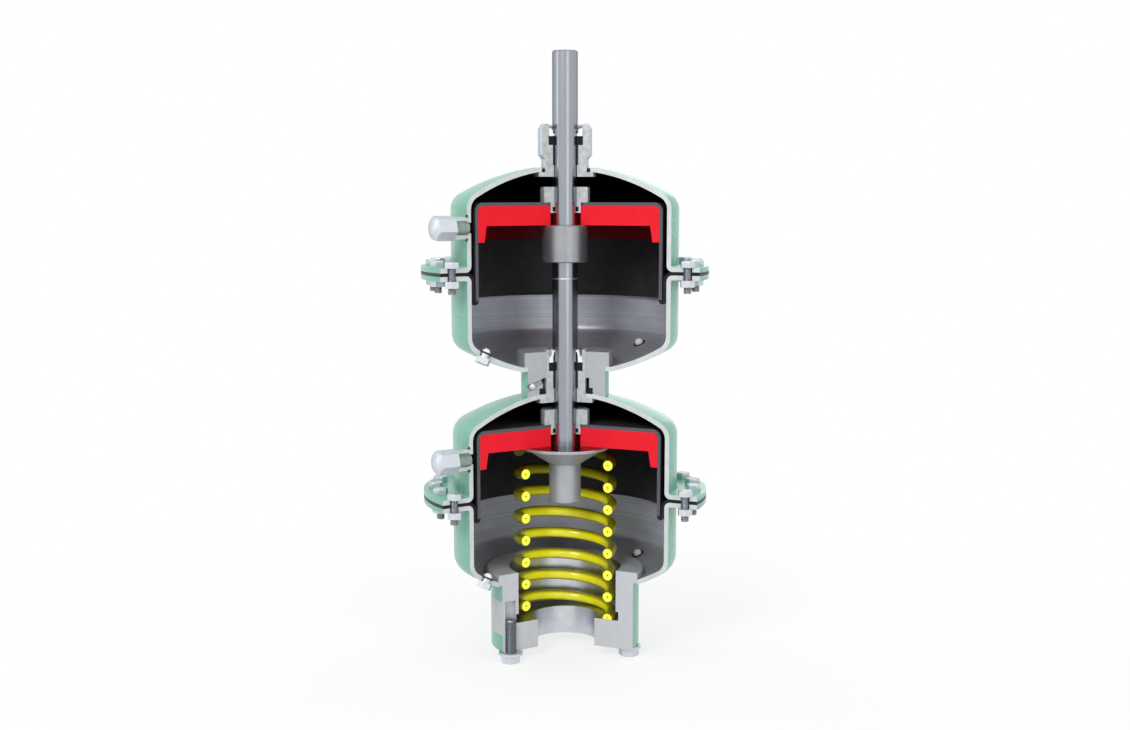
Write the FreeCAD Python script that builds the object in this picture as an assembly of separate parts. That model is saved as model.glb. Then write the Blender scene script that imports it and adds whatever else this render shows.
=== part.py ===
import FreeCAD, Part
import math
import os

# Tandem pneumatic diaphragm actuator with spring return, as a cutaway: a wedge of 120 degrees is taken
# out of the casings, glands, plates, diaphragms and spring, while rods, fasteners and fittings stay whole.
# Millimetres, +Z up. Z is the axis of the rod, and the origin is the centre of the mounting face under
# the spring housing. Angles are about Z, from +X towards +Y. Radii are from the axis.

# The cut: what is sectioned runs from the right face through the back to the left face.
CUT_START = -15.0
CUT_SWEEP = 240.0
LEFT_FACE = CUT_START + CUT_SWEEP

# Fits, as radial gaps
RUNNING_FIT = 0.05
SPIGOT_FIT = 0.1
THREAD_FIT = 0.05
WRAP_FIT = 0.1

# The two chambers
LOWER_PARTING = 156.0
PITCH = 222.0
UPPER_PARTING = LOWER_PARTING + PITCH
SHEET = 4.5
CASING_R = 108.0
CROWN_R = 205.0
CROWN_DEPTH = 99.0
KNUCKLE_R = 13.0
FLANGE_BEND = 6.0
COVER_SEAT_R = 32.0
BOWL_SEAT_R = 50.0

# Flanges, and their M8 bolts
BOLT_COUNT = 24
BOLT_FROM_WALL = 17.25
BOLT_TO_RIM = 12.25
BOLT_CIRCLE_R = CASING_R + SHEET + BOLT_FROM_WALL
FLANGE_R = BOLT_CIRCLE_R + BOLT_TO_RIM
BOLT_R = 4.0
BOLT_HOLE_R = 4.5
BOLT_LENGTH = 25.0
BOLT_FLATS = 13.0
BOLT_HEAD = 6.0
BOLT_NUT = 6.5

# Rubber diaphragms: one thickness throughout, hanging in a fold between plate and casing
RUBBER = 3.4
DIAPHRAGM_HOLE_R = 18.5
FOLD_BELOW_PARTING = 29.7

# Rods
ROD_R = 12.5
ROD_TOP = 591.0
ROD_JOINT = 371.0
ROD_CHAMFER = 1.2
JOINT_CHAMFER = 0.7
STUD_R = 8.0
STUD_LENGTH = 22.0
STUD_SPACE = 2.0
COLLAR_R = 22.3
COLLAR_HEIGHT = 36.3
COLLAR_CHAMFER = 1.0

# Diaphragm plates, measured up from the parting plane of their chamber; the lower one sits a little higher
PLATE_FROM_WALL = 8.1
PLATE_R = CASING_R - PLATE_FROM_WALL
PLATE_TOP = 64.1
LOWER_PLATE_RISE = 2.5
PLATE_THICK = 18.8
PLATE_CORNER = 5.0
PLATE_BORE_R = 17.1
SKIRT_DEPTH = 34.5
SKIRT_ROOT = 9.4
SKIRT_TIP = 6.9
SKIRT_ROOT_R = PLATE_R - SKIRT_ROOT
SKIRT_TIP_R = PLATE_R - SKIRT_TIP

# Plate nuts
NUT_R = 24.5
NUT_HEIGHT = 14.9
NUT_NECK_DEPTH = 10.2
NUT_EDGE = 1.0
NUT_GROOVE_DEPTH = 2.2
NUT_GROOVE_WIDTH = 4.4
NUT_LIP = 1.5

# Glands: a guide bush, a rod seal and a wiper stacked in a flanged body
GLAND_BORE_R = 13.0
BUSH_R = 14.3
SEAL_R = 19.35
SEAL_HEIGHT = 8.6
WIPER_R = 18.6
WIPER_LIP = 1.6
TOP_WIPER_HEIGHT = 7.2
TOP_WIPER_RIM = 2.6
TOP_WIPER_HOLLOW = 2.2
HUB_WIPER_HEIGHT = 5.8
HUB_WIPER_RIM = 2.2
HUB_WIPER_LIP_TOP = 12.2
HUB_WIPER_LIP_EDGE = 1.8
HUB_WIPER_LIP_THICK = 1.9
TOP_GLAND_FLANGE_R = 30.5
TOP_GLAND_NECK_R = 23.3
TOP_GLAND_HEAD_R = 26.6
GLAND_FLANGE_THICK = 4.2
TOP_GLAND_TOP = 521.0
TOP_HEAD_START = 487.0
TOP_HEAD_TAPER = 4.0
TOP_HEAD_CHAMFER = 4.5
TOP_HEAD_CHAMFER_WIDTH = 3.15
TOP_BUSH_BOTTOM = 481.5
TOP_SEAL_BOTTOM = 500.7
COVER_HOLE_R = 27.2
TOP_O_RING_SECTION_R = 1.85
MOUTH_CHAMFER = 1.5

# Centre hub between the chambers, and the gland screwed into it from below
HUB_TOP = 299.2
HUB_SHOULDER_R = 48.0
HUB_R = 44.0
HUB_GROOVE_R = 26.5
HUB_GROOVE_TOP = 273.0
HUB_O_RING_R = 30.6
HUB_O_RING_SPACE = 6.2
HUB_GLAND_R = 22.3
HUB_GLAND_FLANGE_R = 29.8
HUB_GLAND_TOP = 301.0
HUB_BUSH_BOTTOM = 262.0
HUB_SEAL_BOTTOM = 279.6
HUB_VENT_HOLE_R = 2.4
HUB_VENT_MOUTH_Z = 264.0
HUB_VENT_TURN = 20.0
HUB_BALL_R = 3.5
HUB_BALL_DEPTH = 8.0

# Air ports in the cover walls, on the left face of the cut
PORT_ABOVE_PARTING = 43.7
PORT_HOLE_R = 5.0
PORT_BOSS_R = 10.5
PORT_BOSS_END = 129.0
PORT_NIPPLE_R = 6.5
PORT_NIPPLE_BORE_R = 3.5
NIPPLE_FROM_WALL = 0.3
PORT_CAP_FLATS = 21.0
PORT_CAP_END = 152.0
PORT_CAP_DOME = 5.0

# Vent plugs in the bowls
VENT_FROM_WALL = 15.0
VENT_R = CASING_R - VENT_FROM_WALL
VENT_ANGLES = (LEFT_FACE, LEFT_FACE - 180.0)
VENT_HOLE_R = 5.2
VENT_BODY_R = 4.2
VENT_INSIDE = 3.0
VENT_HEAD_FLATS = 13.0
VENT_HEAD = 6.0

# Spring housing and its mounting bolts, M12
HOUSING_R = 75.3
HOUSING_SHOULDER_R = 79.7
HOUSING_SHOULDER_Z = 69.0
HOUSING_TOP = 80.0
HOUSING_BORE_R = 56.3
UNDERCUT_R = 59.3
UNDERCUT_TOP = 37.6
LEDGE_Z = 28.5
SPIGOT_R = 33.0
HOUSING_EDGE = 1.5
MOUNT_COUNT = 8
MOUNT_TO_RIM = 9.3
MOUNT_CIRCLE_R = HOUSING_R - MOUNT_TO_RIM
MOUNT_BOLT_R = 6.0
MOUNT_HOLE_DEPTH = 52.0
MOUNT_BOLT_LENGTH = 33.0
MOUNT_BOLT_FLATS = 18.0
MOUNT_BOLT_HEAD = 8.0
MOUNT_WASHER_R = 12.0
MOUNT_WASHER = 2.5
MOUNT_BOLT_ANGLES = (LEFT_FACE, 0.0)

# Return spring: a right-handed helix with ground ends
SPRING_R = 47.2
WIRE_R = 5.5
COIL_PITCH = 22.4
FIRST_COIL_Z = 29.3
COIL_COUNT = 8
LAST_COIL_SWEEP = 218.0

# Spring seat under the lower plate: its rim bears on the inner half of the top coil
SEAT_R = 44.2
SEAT_RIM = 2.8
SEAT_IN_COIL = 1.5
SEAT_CONE = 15.5
SEAT_STEM_R = 16.0
SEAT_STEM_BOTTOM = 146.6
SEAT_STEM_EDGE = 1.0

ORIGIN = FreeCAD.Vector(0, 0, 0)
UP = FreeCAD.Vector(0, 0, 1)


def polar(radius, angle, height=0.0):
    """Point at a radius and an angle in degrees about the axis."""
    turn = math.radians(angle)
    return FreeCAD.Vector(radius * math.cos(turn), radius * math.sin(turn), height)


def bend(r, z, radius, start, end):
    """Arc of an outline about (r, z) as its first, middle and last points; 0 degrees points off the axis."""
    angles = (start, (start + end) / 2, end)
    return [FreeCAD.Vector(r + radius * math.cos(math.radians(a)), 0, z + radius * math.sin(math.radians(a)))
            for a in angles]


def outline(*steps):
    """Closed face in the plane of radius and height; each step is a corner (r, z) or an arc from bend."""
    runs = [step if isinstance(step, list) else [FreeCAD.Vector(step[0], 0, step[1])] for step in steps]
    edges = []
    for run, following in zip(runs, runs[1:] + runs[:1]):
        if len(run) == 3:
            edges.append(Part.Arc(*run).toShape())
        if not run[-1].isEqual(following[0], 1e-7):
            edges.append(Part.LineSegment(run[-1], following[0]).toShape())
    return Part.Face(Part.Wire(edges))


def whole(face):
    """Full turn of an outline about the axis."""
    return face.revolve(ORIGIN, UP, 360)


def sectioned(face):
    """Turn of an outline about the axis that leaves the cut wedge out."""
    solid = face.revolve(ORIGIN, UP, CUT_SWEEP)
    solid.rotate(ORIGIN, UP, CUT_START)
    return solid


def moved(shape, height):
    """Copy of a shape raised by a height."""
    copy = shape.copy()
    copy.translate(UP * height)
    return copy


def turned(shape, angle):
    """Copy of a shape turned about the axis."""
    copy = shape.copy()
    copy.rotate(ORIGIN, UP, angle)
    return copy


def aimed(shape, point, direction):
    """Copy of a shape whose own +Z is laid along a direction, with its own origin at the point."""
    copy = shape.copy()
    copy.Placement = FreeCAD.Placement(point, FreeCAD.Rotation(UP, direction))
    return copy


def rod_of(radius, bottom, top, centre=ORIGIN):
    """Upright cylinder between two heights."""
    return Part.makeCylinder(radius, top - bottom, centre + UP * bottom, UP)


def hexagon(flats, bottom, top):
    """Upright hexagonal prism between two heights, with corners on X."""
    corners = [polar(flats / math.sqrt(3), 60 * k, bottom) for k in range(6)]
    return Part.Face(Part.makePolygon(corners + corners[:1])).extrude(UP * (top - bottom))


def eased_hexagon(flats, bottom, top, ease_bottom, ease_top):
    """Hexagonal prism whose corners are turned off at 30 degrees at the ends asked for."""
    corner = flats / math.sqrt(3)
    drop = (corner - flats / 2) * math.tan(math.radians(30))
    low = bottom + (drop if ease_bottom else 0)
    high = top - (drop if ease_top else 0)
    steps = [(0, bottom), (flats / 2 if ease_bottom else corner, bottom), (corner, low),
             (corner, high), (flats / 2 if ease_top else corner, top), (0, top)]
    kept = [step for n, step in enumerate(steps) if step != steps[n - 1]]
    return hexagon(flats, bottom, top).common(whole(outline(*kept)))


def ring_of_section(mean_r, height, section_r):
    """Sectioned ring of round rubber."""
    circle = Part.Circle(FreeCAD.Vector(mean_r, 0, height), FreeCAD.Vector(0, 1, 0), section_r)
    return sectioned(Part.Face(Part.Wire(circle.toShape())))


def bolt_angles():
    """Angles of the flange bolts that the cut leaves, those on its two faces included."""
    step = 360.0 / BOLT_COUNT
    return [CUT_START + step * k for k in range(int(CUT_SWEEP / step) + 1)]


def mount_angles():
    """Angles of the mounting holes that the cut leaves, the one on its left face included."""
    step = 360.0 / MOUNT_COUNT
    return [step * k for k in range(int(LEFT_FACE / step) + 1)]


def crown_centre():
    """Height of the crown's centre, from the parting plane."""
    return CROWN_DEPTH - CROWN_R


def knuckle_height():
    """Height of the knuckle's centre, where it is tangent to both the crown and the wall."""
    return crown_centre() + math.sqrt((CROWN_R - KNUCKLE_R) ** 2 - (CASING_R - KNUCKLE_R) ** 2)


def seat_height(seat_r):
    """Height of the flat seat inside the crown, above the parting plane."""
    return crown_centre() + math.sqrt(CROWN_R ** 2 - seat_r ** 2)


def pressed_half(seat_r, hole_r):
    """Outline of one pressed casing half, in height from the parting plane: rim, wall, knuckle and crown.
    The crown ends in a flat seat inside seat_r with a hole in it, or plainly at the hole without a seat."""
    gap = RUBBER / 2
    bend_r = CASING_R + FLANGE_BEND
    bend_z = gap + FLANGE_BEND
    knuckle_r = CASING_R - KNUCKLE_R
    knuckle_z = knuckle_height()
    centre = crown_centre()
    tangent = math.degrees(math.atan2(knuckle_z - centre, knuckle_r))
    if seat_r > hole_r:
        seat = seat_height(seat_r)
        inner_end = math.degrees(math.acos(seat_r / CROWN_R))
        outer_end = math.degrees(math.asin((seat + SHEET - centre) / (CROWN_R + SHEET)))
        rim = [(hole_r, seat + SHEET), (hole_r, seat)]
    else:
        inner_end = math.degrees(math.acos(hole_r / CROWN_R))
        outer_end = math.degrees(math.acos(hole_r / (CROWN_R + SHEET)))
        rim = []
    return outline(
        (FLANGE_R, gap),
        (FLANGE_R, gap + SHEET),
        bend(bend_r, bend_z, FLANGE_BEND - SHEET, 270, 180),
        bend(knuckle_r, knuckle_z, KNUCKLE_R + SHEET, 0, tangent),
        bend(0, centre, CROWN_R + SHEET, tangent, outer_end),
        *rim,
        bend(0, centre, CROWN_R, inner_end, tangent),
        bend(knuckle_r, knuckle_z, KNUCKLE_R, tangent, 0),
        bend(bend_r, bend_z, FLANGE_BEND, 180, 270))


def flange_holes():
    """Cutters for the bolt holes through one flanged joint, about its parting plane."""
    reach = RUBBER / 2 + SHEET + 1
    return [rod_of(BOLT_HOLE_R, -reach, reach, polar(BOLT_CIRCLE_R, a)) for a in bolt_angles()]


def port_axis(shape):
    """Copy of a shape laid from its own +Z to point out through the cover wall on the left face."""
    return aimed(shape, UP * PORT_ABOVE_PARTING, polar(1, LEFT_FACE))


def cover(hole_r):
    """Cover above a parting plane, with a hole for its gland and one for the air port."""
    port = port_axis(rod_of(PORT_HOLE_R, CASING_R - 5, CASING_R + SHEET + 5))
    return sectioned(pressed_half(COVER_SEAT_R, hole_r)).cut(flange_holes() + [port])


def vent_frame(angle):
    """Point inside a bowl's crown where a vent plug sits, and the direction out through the sheet."""
    slope = math.asin(VENT_R / CROWN_R)
    depth = -(crown_centre() + CROWN_R * math.cos(slope))
    outward = polar(math.sin(slope), angle, -math.cos(slope))
    return polar(VENT_R, angle, depth), outward


def bowl(seat_r, hole_r):
    """Bowl below a parting plane: a pressed half turned over, with holes for two vent plugs."""
    shell = sectioned(pressed_half(seat_r, hole_r)).mirror(ORIGIN, UP)
    holes = [aimed(rod_of(VENT_HOLE_R, -10, SHEET + 10), *vent_frame(a)) for a in VENT_ANGLES]
    return shell.cut(flange_holes() + holes)


def vent_plugs():
    """Vent plugs of one bowl: a domed body through the sheet and a hexagon outside."""
    dome = Part.makeSphere(VENT_BODY_R, UP * (VENT_BODY_R - VENT_INSIDE))
    body = rod_of(VENT_BODY_R, VENT_BODY_R - VENT_INSIDE, SHEET + 1)
    head = eased_hexagon(VENT_HEAD_FLATS, SHEET, SHEET + VENT_HEAD, False, True)
    seat = Part.makeSphere(CROWN_R + SHEET + RUNNING_FIT, UP * (-CROWN_R))
    plug = head.cut(seat).fuse([body, dome]).removeSplitter()
    return [aimed(plug, *vent_frame(a)) for a in VENT_ANGLES]


def diaphragm(rise):
    """Rolling diaphragm, in height from the parting plane: over the plate, down its skirt, round the hanging
    fold, up the casing wall and out between the flanges. A higher plate draws its fold up by half of that."""
    seat = PLATE_TOP + rise
    plate_r = PLATE_R + WRAP_FIT
    wall_r = CASING_R - WRAP_FIT
    corner_r = plate_r - PLATE_CORNER
    corner_z = seat - PLATE_CORNER
    rim_r = wall_r + FLANGE_BEND
    rim_z = -RUBBER / 2 - FLANGE_BEND
    fold_r = (plate_r + wall_r) / 2
    fold_outer = (wall_r - plate_r) / 2
    fold_z = rise / 2 - FOLD_BELOW_PARTING + fold_outer
    face = outline(
        (DIAPHRAGM_HOLE_R, seat + RUBBER),
        (DIAPHRAGM_HOLE_R, seat),
        bend(corner_r, corner_z, PLATE_CORNER, 90, 0),
        bend(fold_r, fold_z, fold_outer, 180, 360),
        bend(rim_r, rim_z, FLANGE_BEND, 180, 90),
        (FLANGE_R, -RUBBER / 2),
        (FLANGE_R, RUBBER / 2),
        bend(rim_r, rim_z, FLANGE_BEND + RUBBER, 90, 180),
        bend(fold_r, fold_z, fold_outer - RUBBER, 360, 180),
        bend(corner_r, corner_z, PLATE_CORNER + RUBBER, 0, 90))
    return sectioned(face).cut(flange_holes())


def plate():
    """Diaphragm plate, in height from the parting plane: a thick disc with a skirt hanging from its rim."""
    underside = PLATE_TOP - PLATE_THICK
    tip = PLATE_TOP - SKIRT_DEPTH
    return sectioned(outline(
        (PLATE_BORE_R, PLATE_TOP),
        bend(PLATE_R - PLATE_CORNER, PLATE_TOP - PLATE_CORNER, PLATE_CORNER, 90, 0),
        (PLATE_R, tip),
        (SKIRT_TIP_R, tip),
        (SKIRT_ROOT_R, underside),
        (PLATE_BORE_R, underside)))


def plate_nut():
    """Nut that clamps the diaphragm to its plate, with a neck in the plate's bore and a groove for a seal."""
    seat = PLATE_TOP + RUBBER
    top = seat + NUT_HEIGHT
    foot = seat - NUT_NECK_DEPTH
    bore = ROD_R + THREAD_FIT
    neck = PLATE_BORE_R - SPIGOT_FIT
    groove = foot + NUT_LIP
    return sectioned(outline(
        (bore, top),
        (NUT_R - NUT_EDGE, top),
        (NUT_R, top - NUT_EDGE),
        (NUT_R, seat),
        (neck, seat),
        (neck, foot),
        (bore, foot),
        (bore, groove),
        (bore + NUT_GROOVE_DEPTH, groove),
        (bore + NUT_GROOVE_DEPTH, groove + NUT_GROOVE_WIDTH),
        (bore, groove + NUT_GROOVE_WIDTH)))


def nut_o_ring():
    """Seal ring in the plate nut's groove, round the rod."""
    section_r = NUT_GROOVE_DEPTH / 2
    height = PLATE_TOP + RUBBER - NUT_NECK_DEPTH + NUT_LIP + NUT_GROOVE_WIDTH / 2
    return ring_of_section(ROD_R + THREAD_FIT + section_r, height, section_r)


def flange_bolts():
    """Bolts of one flanged joint, heads up."""
    seat = RUBBER / 2 + SHEET
    head = eased_hexagon(BOLT_FLATS, seat, seat + BOLT_HEAD, False, True)
    bolt = head.fuse(rod_of(BOLT_R, seat - BOLT_LENGTH, seat)).removeSplitter()
    bolt.translate(polar(BOLT_CIRCLE_R, 0))
    return [turned(bolt, a) for a in bolt_angles()]


def flange_nuts():
    """Nuts of one flanged joint, under the lower flange."""
    seat = -RUBBER / 2 - SHEET
    nut = eased_hexagon(BOLT_FLATS, seat - BOLT_NUT, seat, True, False)
    nut = nut.cut(rod_of(BOLT_R + THREAD_FIT, seat - BOLT_NUT - 1, seat + 1))
    nut.translate(polar(BOLT_CIRCLE_R, 0))
    return [turned(nut, a) for a in bolt_angles()]


def port_boss():
    """Boss welded to the cover wall round the air port, sectioned along the port's axis."""
    ring = port_axis(rod_of(PORT_BOSS_R, CASING_R, PORT_BOSS_END).cut(
        rod_of(PORT_NIPPLE_R + THREAD_FIT, CASING_R - 1, PORT_BOSS_END + 1)))
    reach = 2 * PORT_BOSS_END
    kept_side = Part.makeBox(reach, PORT_BOSS_R + 1, reach, FreeCAD.Vector(0, -PORT_BOSS_R - 1, -reach / 2))
    wall = rod_of(CASING_R + SHEET, -reach, reach)
    return ring.common(turned(kept_side, LEFT_FACE)).cut(wall)


def port_nipple():
    """Threaded nipple screwed into the boss and reaching up inside the cap."""
    start = CASING_R + SHEET + NIPPLE_FROM_WALL
    end = PORT_BOSS_END + (PORT_CAP_END - PORT_BOSS_END) / 2
    body = rod_of(PORT_NIPPLE_R, start, end)
    return port_axis(body.cut(rod_of(PORT_NIPPLE_BORE_R, start - 1, end + 1)))


def port_cap():
    """Hexagonal cap screwed over the nipple against the boss, with a domed end."""
    flat_end = PORT_CAP_END - PORT_CAP_DOME
    corner = PORT_CAP_FLATS / math.sqrt(3)
    dome_r = (corner ** 2 + PORT_CAP_DOME ** 2) / (2 * PORT_CAP_DOME)
    hexagonal = hexagon(PORT_CAP_FLATS, PORT_BOSS_END, PORT_CAP_END)
    domed = rod_of(corner + 1, PORT_BOSS_END, flat_end).fuse(
        Part.makeSphere(dome_r, UP * (PORT_CAP_END - dome_r)).cut(rod_of(2 * dome_r, -dome_r, flat_end)))
    hollow_end = PORT_BOSS_END + (PORT_CAP_END - PORT_BOSS_END) / 2 + 1
    hollow = rod_of(PORT_NIPPLE_R + THREAD_FIT, PORT_BOSS_END - 1, hollow_end)
    return port_axis(hexagonal.common(domed).cut(hollow))


def top_seat():
    """Height of the top gland's seat against the inside of the upper cover."""
    return UPPER_PARTING + seat_height(COVER_SEAT_R)


def hub_seat():
    """Height of the hub gland's seat against the inside of the lower cover."""
    return LOWER_PARTING + seat_height(COVER_SEAT_R)


def top_gland():
    """Gland in the upper cover: a flange inside, a neck through the cover and a head outside it."""
    seat = top_seat()
    foot = seat - GLAND_FLANGE_THICK
    head = TOP_GLAND_HEAD_R
    return sectioned(outline(
        (GLAND_BORE_R, foot),
        (TOP_GLAND_FLANGE_R, foot),
        (TOP_GLAND_FLANGE_R, seat),
        (TOP_GLAND_NECK_R, seat),
        (TOP_GLAND_NECK_R, TOP_HEAD_START),
        (head, TOP_HEAD_START + TOP_HEAD_TAPER),
        (head, TOP_GLAND_TOP - TOP_HEAD_CHAMFER),
        (head - TOP_HEAD_CHAMFER_WIDTH, TOP_GLAND_TOP),
        (WIPER_R + MOUTH_CHAMFER, TOP_GLAND_TOP),
        (WIPER_R, TOP_GLAND_TOP - MOUTH_CHAMFER),
        (WIPER_R, TOP_SEAL_BOTTOM + SEAL_HEIGHT),
        (SEAL_R, TOP_SEAL_BOTTOM + SEAL_HEIGHT),
        (SEAL_R, TOP_SEAL_BOTTOM),
        (BUSH_R, TOP_SEAL_BOTTOM),
        (BUSH_R, TOP_BUSH_BOTTOM),
        (GLAND_BORE_R, TOP_BUSH_BOTTOM)))


def ring(inner_r, outer_r, bottom, top):
    """Sectioned plain ring."""
    return sectioned(outline((inner_r, bottom), (outer_r, bottom), (outer_r, top), (inner_r, top)))


def top_wiper():
    """Wiper in the top gland's mouth, with a thin lip on the rod at its foot."""
    foot = TOP_SEAL_BOTTOM + SEAL_HEIGHT
    top = foot + TOP_WIPER_HEIGHT
    lip = ROD_R + RUNNING_FIT
    root = lip + WIPER_LIP
    return sectioned(outline(
        (lip, foot + WIPER_LIP / 2),
        (root, foot),
        (WIPER_R, foot),
        (WIPER_R, top),
        (WIPER_R - TOP_WIPER_RIM, top),
        (root, top - TOP_WIPER_HOLLOW),
        (root, foot + 1.5 * WIPER_LIP),
        (lip, foot + 1.5 * WIPER_LIP)))


def hub_wiper():
    """Wiper in the hub gland's mouth, with a lip that leans up and in to the rod."""
    foot = HUB_SEAL_BOTTOM + SEAL_HEIGHT
    body = foot + HUB_WIPER_HEIGHT
    top = foot + HUB_WIPER_LIP_TOP
    edge = top - HUB_WIPER_LIP_EDGE
    lip = ROD_R + RUNNING_FIT
    root = lip + WIPER_LIP
    return sectioned(outline(
        (root, foot),
        (WIPER_R, foot),
        (WIPER_R, body),
        (WIPER_R - HUB_WIPER_RIM, body),
        (lip + HUB_WIPER_LIP_THICK, top),
        (lip, top),
        (lip, edge),
        (lip + WIPER_LIP / 2, edge - WIPER_LIP / 2),
        (root, body - WIPER_LIP / 2)))


def hub_gland():
    """Gland of the lower rod: a flange inside the lower cover and a tube up through the hub."""
    seat = hub_seat()
    foot = seat - GLAND_FLANGE_THICK
    return sectioned(outline(
        (GLAND_BORE_R, foot),
        (HUB_GLAND_FLANGE_R, foot),
        (HUB_GLAND_FLANGE_R, seat),
        (HUB_GLAND_R, seat),
        (HUB_GLAND_R, HUB_GLAND_TOP),
        (WIPER_R, HUB_GLAND_TOP),
        (WIPER_R, HUB_SEAL_BOTTOM + SEAL_HEIGHT),
        (SEAL_R, HUB_SEAL_BOTTOM + SEAL_HEIGHT),
        (SEAL_R, HUB_SEAL_BOTTOM),
        (BUSH_R, HUB_SEAL_BOTTOM),
        (BUSH_R, HUB_BUSH_BOTTOM),
        (GLAND_BORE_R, HUB_BUSH_BOTTOM)))


def hub_vent_frame():
    """Mouth of the hub's vent drilling on its outside, and the direction out of it."""
    return polar(HUB_R, LEFT_FACE, HUB_VENT_MOUTH_Z), polar(math.cos(math.radians(HUB_VENT_TURN)), LEFT_FACE,
                                                            -math.sin(math.radians(HUB_VENT_TURN)))


def centre_hub():
    """Hub that joins the chambers: a shoulder on the upper bowl's seat, a body through it, and a foot shaped
    to the lower cover. Its bore has a vent groove and a space for the seal on the lower cover."""
    bore = HUB_GLAND_R + SPIGOT_FIT
    shoulder = UPPER_PARTING - seat_height(BOWL_SEAT_R)
    centre = LOWER_PARTING + crown_centre()
    dome = CROWN_R + SHEET + RUNNING_FIT
    foot = hub_seat() + SHEET
    foot_start = math.degrees(math.asin((foot - centre) / dome))
    foot_end = math.degrees(math.acos(HUB_R / dome))
    space = foot + HUB_O_RING_SPACE
    face = outline(
        (bore, HUB_TOP),
        (HUB_SHOULDER_R, HUB_TOP),
        (HUB_SHOULDER_R, shoulder),
        (HUB_R, shoulder),
        bend(0, centre, dome, foot_end, foot_start),
        (HUB_O_RING_R, foot),
        (HUB_O_RING_R, space),
        (HUB_GROOVE_R, space),
        (HUB_GROOVE_R, HUB_GROOVE_TOP),
        (bore, HUB_GROOVE_TOP))
    mouth, outward = hub_vent_frame()
    depth = HUB_R - HUB_GLAND_R
    drilling = aimed(rod_of(HUB_VENT_HOLE_R, -depth, 5), mouth, outward)
    ball_bore = aimed(rod_of(HUB_BALL_R, -HUB_BALL_DEPTH, 5), mouth, outward)
    return sectioned(face).cut([drilling, ball_bore])


def hub_vent_ball():
    """Ball that rests on the step of the hub's vent drilling, where the bore narrows."""
    ball_r = HUB_BALL_R - THREAD_FIT
    above_step = math.sqrt(ball_r ** 2 - HUB_VENT_HOLE_R ** 2)
    return aimed(Part.makeSphere(ball_r, UP * (above_step - HUB_BALL_DEPTH)), *hub_vent_frame())


def spring_housing():
    """Housing under the lower bowl: a thick tube with a ledge for the spring, a spigot bore in its foot and
    tapped mounting holes."""
    edge = HOUSING_EDGE
    face = outline(
        (SPIGOT_R, 0),
        (HOUSING_R - edge, 0),
        (HOUSING_R, edge),
        (HOUSING_R, HOUSING_SHOULDER_Z),
        (HOUSING_SHOULDER_R, HOUSING_SHOULDER_Z),
        (HOUSING_SHOULDER_R, HOUSING_TOP - edge),
        (HOUSING_SHOULDER_R - edge, HOUSING_TOP),
        (HOUSING_BORE_R, HOUSING_TOP),
        (HOUSING_BORE_R, UNDERCUT_TOP),
        (UNDERCUT_R, UNDERCUT_TOP),
        (UNDERCUT_R, LEDGE_Z),
        (SPIGOT_R, LEDGE_Z))
    holes = [rod_of(MOUNT_BOLT_R + THREAD_FIT, -1, MOUNT_HOLE_DEPTH, polar(MOUNT_CIRCLE_R, a))
             for a in mount_angles()]
    return sectioned(face).cut(holes)


def mounting_bolts():
    """Two mounting bolts left in the housing, heads down."""
    head_top = -MOUNT_WASHER
    head = eased_hexagon(MOUNT_BOLT_FLATS, head_top - MOUNT_BOLT_HEAD, head_top, True, False)
    bolt = head.fuse(rod_of(MOUNT_BOLT_R, head_top, MOUNT_BOLT_LENGTH)).removeSplitter()
    bolt.translate(polar(MOUNT_CIRCLE_R, 0))
    return [turned(bolt, a) for a in MOUNT_BOLT_ANGLES]


def mounting_washers():
    """Washers between the mounting bolts' heads and the mounting face."""
    washer = rod_of(MOUNT_WASHER_R, -MOUNT_WASHER, 0).cut(
        rod_of(MOUNT_BOLT_R + SPIGOT_FIT, -MOUNT_WASHER - 1, 1))
    washer.translate(polar(MOUNT_CIRCLE_R, 0))
    return [turned(washer, a) for a in MOUNT_BOLT_ANGLES]


def coil(index, sweep):
    """One turn of the spring as far as the cut leaves it, from the right face of the cut on."""
    path = Part.makeHelix(COIL_PITCH, COIL_PITCH * sweep / 360, SPRING_R)
    slope = COIL_PITCH / (2 * math.pi * SPRING_R)
    circle = Part.Circle(FreeCAD.Vector(SPRING_R, 0, 0), FreeCAD.Vector(0, 1, slope), WIRE_R)
    solid = Part.Wire(path.Edges).makePipeShell([Part.Wire(circle.toShape())], True, True)
    solid.rotate(ORIGIN, UP, CUT_START)
    return moved(solid, FIRST_COIL_Z + COIL_PITCH * index)


def lower_plate_foot():
    """Height of the lower plate's underside, on which the spring seat is held."""
    return LOWER_PARTING + LOWER_PLATE_RISE + PLATE_TOP - PLATE_THICK


def return_spring():
    """Return spring between the housing's ledge and the rim of its seat, with both ends ground flat."""
    between = rod_of(HOUSING_BORE_R, LEDGE_Z, lower_plate_foot() - SEAT_RIM)
    turns = [coil(k, CUT_SWEEP) for k in range(COIL_COUNT - 1)] + [coil(COIL_COUNT - 1, LAST_COIL_SWEEP)]
    return [solid for turn in turns for solid in turn.common(between).Solids]


def upper_rod():
    """Upper rod, from the joint up through the top gland, with a stud into the lower rod."""
    end = ROD_JOINT - STUD_LENGTH
    return whole(outline(
        (0, end),
        (STUD_R - JOINT_CHAMFER, end),
        (STUD_R, end + JOINT_CHAMFER),
        (STUD_R, ROD_JOINT),
        (ROD_R - JOINT_CHAMFER, ROD_JOINT),
        (ROD_R, ROD_JOINT + JOINT_CHAMFER),
        (ROD_R, ROD_TOP - ROD_CHAMFER),
        (ROD_R - ROD_CHAMFER, ROD_TOP),
        (0, ROD_TOP)))


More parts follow.
